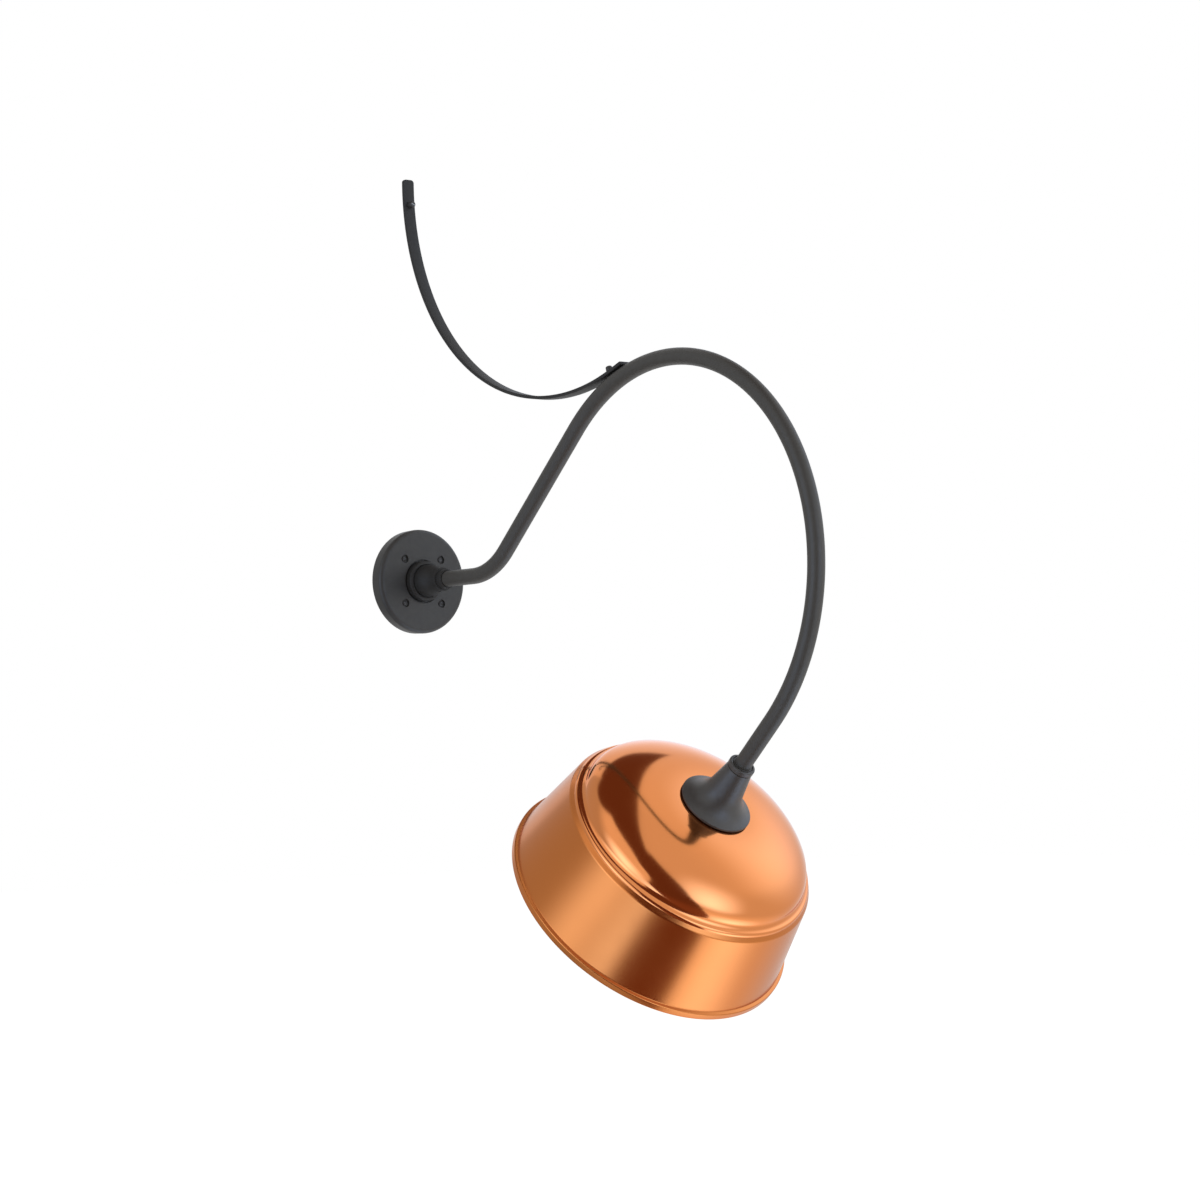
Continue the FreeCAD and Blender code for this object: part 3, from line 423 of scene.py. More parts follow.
def rounded_path(corners):
    """Points of a closed path through corners (radius, height) or (radius, height, rounding)."""
    points = []
    for i, corner in enumerate(corners):
        here = Vector(corner[:2])
        if len(corner) == 2:
            points.append(here)
            continue
        before = (Vector(corners[i - 1][:2]) - here).normalized()
        after = (Vector(corners[(i + 1) % len(corners)][:2]) - here).normalized()
        half = before.angle(after) / 2
        reach = corner[2] / math.tan(half)
        centre = here + (before + after).normalized() * (corner[2] / math.sin(half))
        start = here + before * reach - centre
        sweep = start.angle_signed(here + after * reach - centre)
        steps = max(LEAST_ARC_STEPS, round(abs(sweep) / (2 * math.pi) * POINTS_PER_TURN))
        for k in range(steps + 1):
            points.append(centre + Matrix.Rotation(-sweep * k / steps, 2) @ start)
    return points


def thickened(corners, thickness):
    """A closed outline from an open path of corners and the same path moved to its left."""
    lines = []
    for here, there in zip(corners, corners[1:]):
        along = (Vector(there[:2]) - Vector(here[:2])).normalized()
        side = Vector((-along.y, along.x)) * thickness
        lines.append((Vector(here[:2]) + side, along))
    moved = [tuple(lines[0][0])]
    for corner, (p, u), (q, v) in zip(corners[1:], lines, lines[1:]):
        turn = u.cross(v)
        place = p + u * ((q - p).cross(v) / turn)
        if len(corner) == 2:
            moved.append(tuple(place))
            continue
        rounding = corner[2] - thickness if turn > 0 else corner[2] + thickness
        moved.append((place.x, place.y, max(rounding, LEAST_ROUNDING)))
    moved.append(tuple(Vector(corners[-1][:2]) + lines[-1][0] - Vector(corners[-2][:2])))
    return list(corners) + moved[::-1]


def shown(name, data):
    """A new object in the scene, with this mesh, lamp or camera."""
    piece = bpy.data.objects.new(name, data)
    bpy.context.scene.collection.objects.link(piece)
    return piece


def finished(bm, name, material, place=None, crease=CREASE):
    """Turns a bmesh, drawn in millimetres, to a smooth-shaded piece that rides on the fixture."""
    bmesh.ops.scale(bm, vec=(MM, MM, MM), verts=bm.verts)
    if place is not None:
        bmesh.ops.transform(bm, matrix=place, verts=bm.verts)
    bmesh.ops.recalc_face_normals(bm, faces=bm.faces)
    mesh = bpy.data.meshes.new(name)
    bm.to_mesh(mesh)
    bm.free()
    mesh.shade_smooth()
    mesh.set_sharp_from_angle(angle=crease)
    mesh.materials.append(material)
    piece = shown(name, mesh)
    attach(piece, "fixture")
    return piece


def spun(corners, steps):
    """A bmesh turned about Z from a closed outline of (radius, height) corners in millimetres."""
    bm = bmesh.new()
    ring = [bm.verts.new((p.x, 0, p.y)) for p in rounded_path(corners)]
    edges = [bm.edges.new((a, b)) for a, b in zip(ring, ring[1:] + ring[:1])]
    bmesh.ops.spin(bm, geom=ring + edges, cent=(0, 0, 0), axis=(0, 0, 1), angle=2 * math.pi,
                   steps=steps, use_merge=True, use_duplicate=False)
    bmesh.ops.remove_doubles(bm, verts=bm.verts, dist=MERGE_DISTANCE)
    bmesh.ops.dissolve_degenerate(bm, edges=bm.edges, dist=FLAT_EDGE)
    return bm


def drilled(piece, holes):
    """Cuts round holes (radius, centre, direction, depth), in millimetres, into a piece."""
    for radius, centre, direction, depth in holes:
        bm = bmesh.new()
        turn = Vector(direction).to_track_quat("Z", "Y").to_matrix().to_4x4()
        bmesh.ops.create_cone(bm, cap_ends=True, segments=DRILL_SIDES, radius1=radius * MM,
                              radius2=radius * MM, depth=depth * MM,
                              matrix=Matrix.Translation(Vector(centre) * MM) @ turn)
        mesh = bpy.data.meshes.new("drill")
        bm.to_mesh(mesh)
        bm.free()
        drill = shown("drill", mesh)
        cut = piece.modifiers.new("drill", "BOOLEAN")
        cut.object = drill
        cut.solver = "EXACT"
        bpy.context.view_layer.update()
        shaped = piece.evaluated_get(bpy.context.evaluated_depsgraph_get())
        made = bpy.data.meshes.new_from_object(shaped)
        piece.modifiers.clear()
        piece.data = made
        bpy.data.objects.remove(drill)
    piece.data.shade_smooth()
    piece.data.set_sharp_from_angle(angle=CREASE)


def run_on(bm, edges, move):
    """Extrudes an open ring of edges by a straight move and returns the new ring."""
    grown = bmesh.ops.extrude_edge_only(bm, edges=edges)["geom"]
    bmesh.ops.translate(bm, vec=move, verts=[g for g in grown if isinstance(g, bmesh.types.BMVert)])
    return [g for g in grown if isinstance(g, bmesh.types.BMEdge)]


def swing_on(bm, edges, centre, angle, steps):
    """Spins an open ring of edges about a line along X and returns the new ring."""
    verts = list({v for e in edges for v in e.verts})
    last = bmesh.ops.spin(bm, geom=verts + edges, cent=centre, axis=(1, 0, 0), angle=angle,
                          steps=steps, use_merge=False, use_duplicate=False)["geom_last"]
    return [g for g in last if isinstance(g, bmesh.types.BMEdge)]


def rounded_off(bm, edges, rounding, segments):
    """Rounds edges of a bmesh."""
    bmesh.ops.bevel(bm, geom=edges, offset=rounding, offset_type="OFFSET", segments=segments,
                    profile=0.5, affect="EDGES", material=-1)


# ---------------------------------------------------------------- places

# The shade stands on the axis that the bulb turns about, and the joint lies this far above its rim.
JOINT_HEIGHT = 100.0
lamp_joint = next(joint for joint in frame["joints"] if joint["name"] == "bulb_turn")
lamp_axis = Vector(lamp_joint["axis"])
TILT = math.atan2(-lamp_axis.y, lamp_axis.z)
RIM_CENTRE = Vector(lamp_joint["pos_m"]) - lamp_axis * (JOINT_HEIGHT * MM)
IN_SHADE = Matrix.Translation(RIM_CENTRE) @ Matrix.Rotation(TILT, 4, "X")
ON_WALL = Matrix.Rotation(math.pi / 2, 4, "X")


# ---------------------------------------------------------------- wall plate, hub and arm

def wall_plate(material):
    """Hollow casting with a seat for the gasket in its back, and for the hub and four screws in its face."""
    face_inside = PLATE_DEPTH - PLATE_FACE_THICKNESS
    seat_floor = PLATE_DEPTH - HUB_SEAT_DEPTH
    cavity = PLATE_BACK_RADIUS - PLATE_WALL
    lip = cavity + GASKET_WIDTH
    opening = HUB_TAIL_RADIUS + SLIP_CLEARANCE
    bm = spun([
        (lip, 0), (PLATE_BACK_RADIUS, 0, PLATE_BACK_ROUNDING),
        (PLATE_FRONT_RADIUS, PLATE_DEPTH, PLATE_EDGE_RADIUS),
        (HUB_SEAT_RADIUS, PLATE_DEPTH, CAST_EDGE), (HUB_SEAT_RADIUS, seat_floor), (opening, seat_floor),
        (opening, face_inside), (cavity, face_inside, PLATE_INSIDE_ROUNDING), (cavity, GASKET_DEPTH),
        (lip, GASKET_DEPTH)], PLATE_STEPS)
    piece = finished(bm, "wall_plate_casting", material, ON_WALL)
    half = SCREW_SQUARE / 2
    holes = []
    for x in (-half, half):
        for z in (-half, half):
            holes.append((SCREW_RECESS_RADIUS, (x, -PLATE_DEPTH, z), (0, 1, 0), 2 * SCREW_RECESS_DEPTH))
            holes.append((SCREW_HOLE_RADIUS, (x, -PLATE_DEPTH, z), (0, 1, 0), 4 * PLATE_FACE_THICKNESS))
    drilled(piece, holes)
    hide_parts("wall_plate")


def hub(material):
    """Flange with a groove round the neck, which swells into a sleeve and a collar for the pipe."""
    seat_floor = PLATE_DEPTH - HUB_SEAT_DEPTH
    top = PLATE_DEPTH + HUB_FLANGE_RISE
    groove = top - HUB_GROOVE_DEPTH
    groove_radius = HUB_NECK_RADIUS + HUB_GROOVE_WIDTH
    end = PLATE_DEPTH + HUB_LENGTH
    collar_end = end + HUB_COLLAR_LENGTH
    bore = TUBE_RADIUS - TUBE_WALL
    socket = TUBE_RADIUS + THREAD_CLEARANCE
    tail = PLATE_DEPTH - PLATE_FACE_THICKNESS - HUB_TAIL_LENGTH
    shoulder = end - HUB_SHOULDER_DEPTH
    bm = spun([
        (bore, tail), (HUB_TAIL_RADIUS, tail, HUB_TAIL_ROUNDING), (HUB_TAIL_RADIUS, seat_floor),
        (HUB_FLANGE_RADIUS, seat_floor), (HUB_FLANGE_RADIUS, top, HUB_FLANGE_ROUNDING),
        (groove_radius, top, HUB_COLLAR_ROUNDING), (groove_radius, groove, HUB_GROOVE_ROUNDING),
        (HUB_NECK_RADIUS, groove, HUB_GROOVE_ROUNDING),
        (HUB_NECK_RADIUS, PLATE_DEPTH + HUB_NECK_LENGTH, HUB_SWELL_ROUNDING),
        (HUB_RADIUS, PLATE_DEPTH + HUB_RADIUS_START, HUB_SWELL_ROUNDING), (HUB_RADIUS, end, HUB_CHAMFER),
        (HUB_COLLAR_RADIUS, end, HUB_COLLAR_ROUNDING), (HUB_COLLAR_RADIUS, collar_end, HUB_CHAMFER),
        (socket, collar_end, HUB_COLLAR_ROUNDING), (socket, shoulder), (bore, shoulder)], HUB_STEPS)
    piece = finished(bm, "hub_casting", material, ON_WALL)
    screw_place = (0, HUB_SCREW_FROM_END - end, -HUB_RADIUS)
    drilled(piece, [(HUB_SCREW_RADIUS, screw_place, (0, 0, 1), HUB_SCREW_DEPTH)])
    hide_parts("arm_hub")


def heading(angle):
    """Unit vector in the plane of the arm, angle above straight out from the wall."""
    return Vector((0, -math.cos(angle), math.sin(angle)))


def arm(material):
    """One pipe: stub, bend, rise, arch and tail. Returns the centre of the arch."""
    start = PLATE_DEPTH + HUB_LENGTH - HUB_SHOULDER_DEPTH
    rise_centre = heading(0) * STUB_LENGTH + heading(math.pi / 2) * RISE_RADIUS
    rise_start = rise_centre + heading(RISE_ANGLE - math.pi / 2) * RISE_RADIUS
    rise_end = rise_start + heading(RISE_ANGLE) * RISE_LENGTH
    arch_centre = rise_end + heading(RISE_ANGLE - math.pi / 2) * ARCH_RADIUS
    bm = bmesh.new()
    stand = Matrix.Translation((0, -start, 0)) @ ON_WALL
    bmesh.ops.create_circle(bm, cap_ends=False, segments=TUBE_SIDES, radius=TUBE_RADIUS, matrix=stand)
    first = bm.edges[:]
    ring = run_on(bm, first, heading(0) * (STUB_LENGTH - start))
    ring = swing_on(bm, ring, rise_centre, -RISE_ANGLE, RISE_STEPS)
    ring = run_on(bm, ring, heading(RISE_ANGLE) * RISE_LENGTH)
    ring = swing_on(bm, ring, arch_centre, ARCH_ANGLE, ARCH_STEPS)
    ring = run_on(bm, ring, heading(RISE_ANGLE - ARCH_ANGLE) * TAIL_LENGTH)
    # Both ends sit out of sight in the hub and the fitter, so they are closed flat.
    for end in (first, ring):
        bmesh.ops.edgeloop_fill(bm, edges=end)
    piece = finished(bm, "bent_pipe_arm", material)
    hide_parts("arm_tube")
    return arch_centre


# ---------------------------------------------------------------- brace

def brace_curve(arch_centre):
    """How far out and how high the brace's curve has its centre, and the angle where it meets the arm."""
    out = BRACE_THICKNESS / 2 + BRACE_RADIUS
    reach = BRACE_RADIUS + ARCH_RADIUS + TUBE_RADIUS + BRACE_SEAT_GAP + BRACE_THICKNESS / 2
    aside = -arch_centre.y - out
    up = arch_centre.z + math.sqrt(reach ** 2 - aside ** 2)
    return out, up, math.asin(aside / reach)


def brace(material, arch_centre):
    """Flat bar from the wall down to the arm, its ends' corners rounded and its edges just broken."""
    out, up, touch = brace_curve(arch_centre)
    bm = bmesh.new()
    place = Matrix.Translation((0, -BRACE_THICKNESS / 2, up + BRACE_FLAT_TOP))
    size = Matrix.Diagonal((BRACE_WIDTH, BRACE_THICKNESS, 1, 1))
    bmesh.ops.create_grid(bm, x_segments=1, y_segments=1, size=0.5, matrix=place @ size)
    top_verts = set(bm.verts)
    ring = run_on(bm, bm.edges[:], (0, 0, -BRACE_FLAT_TOP))
    ring = swing_on(bm, ring, (0, -out, up), -(math.pi / 2 + touch), BRACE_STEPS)
    ring = run_on(bm, ring, heading(touch) * BRACE_TIP)
    bmesh.ops.edgeloop_fill(bm, edges=ring)
    tip_verts = {v for e in ring for v in e.verts}
    for verts, rounding in ((top_verts, BRACE_TOP_ROUNDING), (tip_verts, BRACE_TIP_ROUNDING)):
        corners = [e for e in bm.edges
                   if set(e.verts) <= verts and abs(e.verts[0].co.x - e.verts[1].co.x) < SAME_PLACE]
        rounded_off(bm, corners, rounding, CORNER_SEGMENTS)
    bmesh.ops.recalc_face_normals(bm, faces=bm.faces)
    sharp = [e for e in bm.edges if e.is_manifold and e.calc_face_angle(0) > BRACE_CORNER_ANGLE]
    rounded_off(bm, sharp, BRACE_EDGE_ROUNDING, EDGE_SEGMENTS)
    piece = finished(bm, "flat_brace", material, crease=BRACE_CREASE)
    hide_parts("brace_strap")


def brace_screw_heads(material, glint_material, arch_centre):
    """Tall round heads of the brace's two screws, painted with it, and a bright zinc bar across the wall screw's
    head as a painted glint.
    """
    out, up, touch = brace_curve(arch_centre)
    inside = BRACE_RADIUS - BRACE_THICKNESS / 2
    centre = Vector((0, -out, up))
    drop = BRACE_SCREW_FROM_TOP - BRACE_FLAT_TOP
    at_wall = Vector((0, math.sqrt(inside ** 2 - drop ** 2), -drop))
    angle = touch - BRACE_SCREW_BACK / BRACE_RADIUS
    on_arm = Vector((0, -math.sin(angle), -math.cos(angle))) * inside
    for name, spot, facing in (("wall_screw_head", at_wall, Vector((0, -1, 0))),
                               ("arm_screw_head", on_arm, -on_arm)):
        bm = bmesh.new()
        bmesh.ops.create_cone(bm, cap_ends=True, segments=DRILL_SIDES, radius1=BRACE_HEAD_RADIUS,
                              radius2=BRACE_HEAD_RADIUS, depth=BRACE_HEAD_HEIGHT,
                              matrix=Matrix.Translation((0, 0, BRACE_HEAD_HEIGHT / 2)))
        rim = [e for e in bm.edges if min(v.co.z for v in e.verts) > BRACE_HEAD_HEIGHT / 2]
        rounded_off(bm, rim, BRACE_HEAD_ROUNDING, HEAD_SEGMENTS)
        turn = facing.to_track_quat("Z", "Y").to_matrix().to_4x4()
        place = Matrix.Translation((centre + spot) * MM) @ turn
        piece = finished(bm, name, material, place)
        # The bright bar on the wall screw's head is a painted glint.
        if spot is at_wall:
            bar = bmesh.new()
            tilted = Matrix.Translation((0, 0, BRACE_HEAD_HEIGHT)) @ Matrix.Rotation(BRACE_GLINT_TURN, 4, "Z")
            length = 2 * (BRACE_HEAD_RADIUS - BRACE_HEAD_ROUNDING) + BRACE_GLINT_SPARE
            size = Matrix.Diagonal((length, BRACE_GLINT_WIDTH, BRACE_GLINT_DEPTH, 1))
            bmesh.ops.create_cube(bar, size=1, matrix=tilted @ size)
            slot = finished(bar, "wall_screw_painted_glint", glint_material, place)


# ---------------------------------------------------------------- shade and fitter

def crown_radius_at(slope):
    """Radius of the crown's curve at a slope in degrees: its arcs, each eased into the next."""
    radius = CROWN_ARCS[0][0]
    turned = 0
    for (here, turn), (there, _) in zip(CROWN_ARCS, CROWN_ARCS[1:]):
        turned += turn
        share = min(max((slope - turned) / CROWN_EASING + 0.5, 0), 1)
        radius += (there - here) * share * share * (3 - 2 * share)
    return radius


def crown_points():
    """Points of the crown's curve from the end of the cove up to its flat top."""
    start = math.radians(CROWN_START)
    points = [Vector((CROWN_RADIUS - CROWN_ARCS[0][0] * (1 - math.cos(start)),
                      CROWN_FOOT + CROWN_ARCS[0][0] * math.sin(start)))]
    for slope in range(CROWN_START, 90):
        middle = math.radians(slope + 0.5)
        step = math.radians(1) * crown_radius_at(slope + 0.5)
        points.append(points[-1] + Vector((-math.sin(middle), math.cos(middle))) * step)
    foot = points[0].y
    stretch = (SHADE_HEIGHT - foot) / (points[-1].y - foot)
    return [(point.x, foot + (point.y - foot) * stretch) for point in points]


def shade(material):
    """Rim band, cone with a soft shoulder, rolled bead, cove and the crown."""
    crown = crown_points()
    start = math.radians(CROWN_START)
    foot_radius, foot_height = crown[0]
    cove = (foot_radius + COVE_REACH * math.sin(start), foot_height - COVE_REACH * math.cos(start),
            COVE_ROUNDING)
    path = [
        (RIM_RADIUS - RIM_LIP, 0), (RIM_RADIUS, 0, RIM_ROUNDING),
        (RIM_RADIUS, RIM_BAND_HEIGHT, RIM_ROUNDING),
        (*SKIRT_BOTTOM, SKIRT_BOTTOM_ROUNDING), (*SKIRT_TOP, SHOULDER_ROUNDING),
        (*GROOVE, GROOVE_ROUNDING), (*BEAD_EDGE, BEAD_ROUNDING), cove, *crown,
        (NIPPLE_HOLE, SHADE_HEIGHT)]
    bm = spun(thickened(path, SHEET), SHADE_STEPS)
    piece = finished(bm, "spun_shade", material, IN_SHADE, SHADE_CREASE)
    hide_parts("shade")


def fitter(material):
    """Bell-shaped casting: base, flare, neck and collar, and inside the pipe's socket and nipple's web."""
    edge_top = GASKET_TOP + FITTER_BASE_EDGE
    collar_bottom = FITTER_TOP - FITTER_COLLAR_HEIGHT
    collar_groove = FITTER_NECK_RADIUS - FITTER_COLLAR_GROOVE
    groove_edge = collar_bottom - FITTER_COLLAR_GROOVE
    bore = TUBE_RADIUS + THREAD_CLEARANCE
    ring_inner = bore + FITTER_LIP
    ring_outer = ring_inner + FITTER_RING_WIDTH
    ring_floor = FITTER_TOP - FITTER_RING_DEPTH
    tube_end = FITTER_TOP - FITTER_SOCKET_DEPTH
    nipple_bore = FITTER_NIPPLE_RADIUS + THREAD_CLEARANCE
    web_bottom = GASKET_TOP + FITTER_WEB_BOTTOM
    web_top = GASKET_TOP + FITTER_WEB_TOP
    flare_radius, flare_rise = FITTER_FLARE
    bm = spun([
        (FITTER_BASE_RADIUS - FITTER_WALL, GASKET_TOP), (FITTER_BASE_RADIUS, GASKET_TOP, FINE_EDGE),
        (FITTER_BASE_RADIUS, edge_top, FITTER_BASE_ROUNDING),
        (flare_radius, GASKET_TOP + flare_rise, FITTER_FLARE_ROUNDING),
        (FITTER_NECK_RADIUS, groove_edge - FITTER_COLLAR_SLOPE), (collar_groove, groove_edge),
        (collar_groove, collar_bottom), (FITTER_COLLAR_RADIUS, collar_bottom, CAST_EDGE),
        (FITTER_COLLAR_RADIUS, FITTER_TOP, FITTER_TOP_ROUNDING), (ring_outer, FITTER_TOP, FINE_EDGE),
        (ring_outer, ring_floor), (ring_inner, ring_floor), (ring_inner, FITTER_TOP, FINE_EDGE),
        (bore, FITTER_TOP, FINE_EDGE), (bore, tube_end), (FITTER_WIRE_RADIUS, tube_end),
        (FITTER_WIRE_RADIUS, web_top), (nipple_bore, web_top), (nipple_bore, web_bottom),
        (FITTER_NECK_RADIUS, web_bottom, FITTER_HOLLOW_ROUNDING),
        (FITTER_HOLLOW_RADIUS, GASKET_TOP + FITTER_HOLLOW_BOTTOM)], FITTER_STEPS)
    piece = finished(bm, "neck_fitter_casting", material, IN_SHADE)
    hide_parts("neck_fitter")


def fitter_seal(material):
    """Flat rubber ring between the fitter and the crown."""
    inner = SEAL_RADIUS - SEAL_WIDTH
    bm = spun([
        (inner, SHADE_HEIGHT), (SEAL_RADIUS, SHADE_HEIGHT, FINE_EDGE),
        (SEAL_RADIUS, GASKET_TOP, FINE_EDGE), (inner, GASKET_TOP)], SEAL_STEPS)
    piece = finished(bm, "fitter_seal", material, IN_SHADE)
    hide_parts("fitter_gasket")


# ---------------------------------------------------------------- build the pieces

FINISHES = {
    "black_paint": powder_coated("powder_coated_iron", "#343332", "#3a3937"),
    "black_screw": blackened_steel(),
    "green_screw": green_plated_steel(),
    "gasket_rubber": moulded_rubber(),
    "bracket_steel": zinc_plated_steel(),
    "copper": spun_copper(),
    "porcelain": glazed_porcelain(),
    "brass": rolled_brass(),
    "bright_terminal": tinned_brass(),
    "wire_black": drawn_pvc("black_pvc", "#171717"),
    "wire_white": drawn_pvc("white_pvc", "#e4e1d9"),
    "wire_nut_plastic": moulded_nylon(),
    "black_glass": vitrite_glass(),
    "bulb_glass": blown_glass(),
    "stem_glass": pressed_glass(),
    "tungsten": drawn_tungsten(),
}
FINISHES["zinc_steel"] = FINISHES["bracket_steel"]

for entry in frame["record"]["subparts"]:
    node = frame["nodes"][entry["node"]]
    node.data.materials.clear()
    node.data.materials.append(FINISHES[entry["material_slot"]])

wall_plate(FINISHES["black_paint"])
# The hub's darker tone is painted shade.
hub(powder_coated("powder_coated_hub_painted_shade", "#2c2b2a", "#31302f", 0.6, 0.25))
# The pipe's lighter tone is painted light.
arch_centre = arm(powder_coated("powder_coated_pipe_painted_light", "#42403d", "#474542"))
# The brace's darker tone is painted shade.
brace(powder_coated("powder_coated_strip_painted_shade", "#272625", "#2c2b2a", 0.55, 0.3), arch_centre)
brace_screw_heads(FINISHES["black_paint"], FINISHES["zinc_steel"], arch_centre)
shade(FINISHES["copper"])
# The fitter's lighter tone is painted light.
fitter(powder_coated("powder_coated_casting_painted_light", "#42403f", "#484644", 0.4, 0.45))
fitter_seal(FINISHES["gasket_rubber"])


# ---------------------------------------------------------------- floor

FLOOR_HEIGHT = -1.35
FLOOR_HALF = 30
FLOOR_WHITE = 1.6
FLOOR_WHITE_SHARE = 0.55


def floor():
    """A plain white floor: it stays white to the camera and still takes the lamp's shadow."""
    bm = bmesh.new()
    bmesh.ops.create_grid(bm, x_segments=1, y_segments=1, size=FLOOR_HALF,
                          matrix=Matrix.Translation((0, 0, FLOOR_HEIGHT)))
    mesh = bpy.data.meshes.new("floor")
    bm.to_mesh(mesh)
    bm.free()
    made = bpy.data.materials.new("matte_white_floor")
    made.use_nodes = True
    tree = made.node_tree
    tree.nodes.clear()
    matte = add_node(tree, "ShaderNodeBsdfDiffuse", {"Color": linear("#f4f4f4")})
    white = add_node(tree, "ShaderNodeEmission", {"Color": linear("#ffffff"), "Strength": FLOOR_WHITE})
    seen = add_node(tree, "ShaderNodeLightPath").outputs["Is Camera Ray"]
    share = add_node(tree, "ShaderNodeMath", {0: seen, 1: FLOOR_WHITE_SHARE}, operation="MULTIPLY")
    both = add_node(tree, "ShaderNodeMixShader",
                    {0: share.outputs[0], 1: matte.outputs[0], 2: white.outputs[0]})
    add_node(tree, "ShaderNodeOutputMaterial", {"Surface": both.outputs[0]})
    mesh.materials.append(made)
    piece = shown("floor", mesh)
    piece.visible_glossy = False


# ---------------------------------------------------------------- studio

# The studio that the copper mirrors. Angles are in degrees: azimuth from straight out of the wall towards
# +X, elevation above level. A brightness of 1 is white.
# How edges and brightness change with elevation: from and to this angle, from and to this value.
BY_ELEVATION = {
    "right edge, high": (5.0, 50.0, -11.0, -26.0),
    "right edge, low": (-60.0, -35.0, 6.0, 0.0),
    "right box leans": (40.0, 50.0, 0.0, 1.0),
    "left box ends": (64.0, 68.0, 1.0, 0.0),
    "left box, low": (-30.0, -10.0, 0.65, 1.0),
    "right box, high": (5.0, 25.0, 0.85, 1.0),
    "right box, low": (-45.0, -15.0, 1.35, 1.0),
    "gloom": (-50.0, -20.0, 1.0, 0.65),
}
BY_AZIMUTH = {
    "left box, behind": (-125.0, -85.0, 0.62, 1.05),
    "right box, far": (10.0, 50.0, 0.0, 1.0),
}
# How soft each edge of a box is: outside up to the first distance from it, inside from the second.
SOFT_EDGES = {
    "right edge": (-0.6, 0.6),
    "leaning edge": (0.187, 0.203),
    "left edge": (-0.4, 1.0),
    "edge behind": (-4.0, 4.0),
}
# Hot middles of the boxes: azimuth and elevation of the centre, reach across and up, brightness.
LEFT_GLOWS = ((-91.0, 0.0, 31.0, 38.0, 1.75), (-77.0, -37.0, 25.0, 24.0, 1.7))
RIGHT_GLOWS = ((4.0, 2.0, 32.0, 34.0, 1.8), (72.0, 30.0, 42.0, 36.0, 0.8), (136.0, 20.0, 28.0, 36.0, 0.3),
               (40.0, -62.0, 75.0, 28.0, 1.6))
GLOW_COLOUR = (0.65, 1.0, 1.65, 1.0)    # cooler than the boxes, and brighter than white
GLOOM_COLOUR = "#855c49"
LEFT_EDGE = -47.5            # of the left box, towards the camera
# It draws back down from one elevation and up from another: direction, elevation, share of the square of
# the distance, and how far back it goes at most.
LEFT_EDGE_BOWS = ((-1.0, 20.0, -0.0145, -69.0), (1.0, 32.0, -0.028, -180.0))
BEHIND_EDGE = 100.0          # where the left box ends behind the lamp
BEHIND_SLOPE = 3.4
BEHIND_EDGE_LEVEL = -40.0
BOX_FACING = math.radians(44)
RIGHT_NEAR_LEVEL = 0.88
BOXES_PART_AT = -35.0
ROOM_LIGHT = 0.42
MATH = "ShaderNodeMath"


def glows(tree, place, spots):
    """The sum of round glows at a place given as azimuth and elevation."""
    total = 0.0
    for azimuth, elevation, across, up, brightness in spots:
        near = add_node(tree, "ShaderNodeMapping",
                        {"Vector": place, "Location": (azimuth, elevation, 0), "Scale": (across, up, 1)},
                        vector_type="TEXTURE")
        away = add_node(tree, "ShaderNodeVectorMath", {0: near.outputs["Vector"]}, operation="LENGTH")
        glow = add_node(tree, "ShaderNodeMapRange",
                        {"Value": away.outputs["Value"], "From Min": 1.0, "From Max": 0.0,
                         "To Min": 0.0, "To Max": brightness}, interpolation_type="SMOOTHSTEP")
        total = add_node(tree, MATH, {0: total, 1: glow.outputs["Result"]}, operation="ADD").outputs[0]
    return total


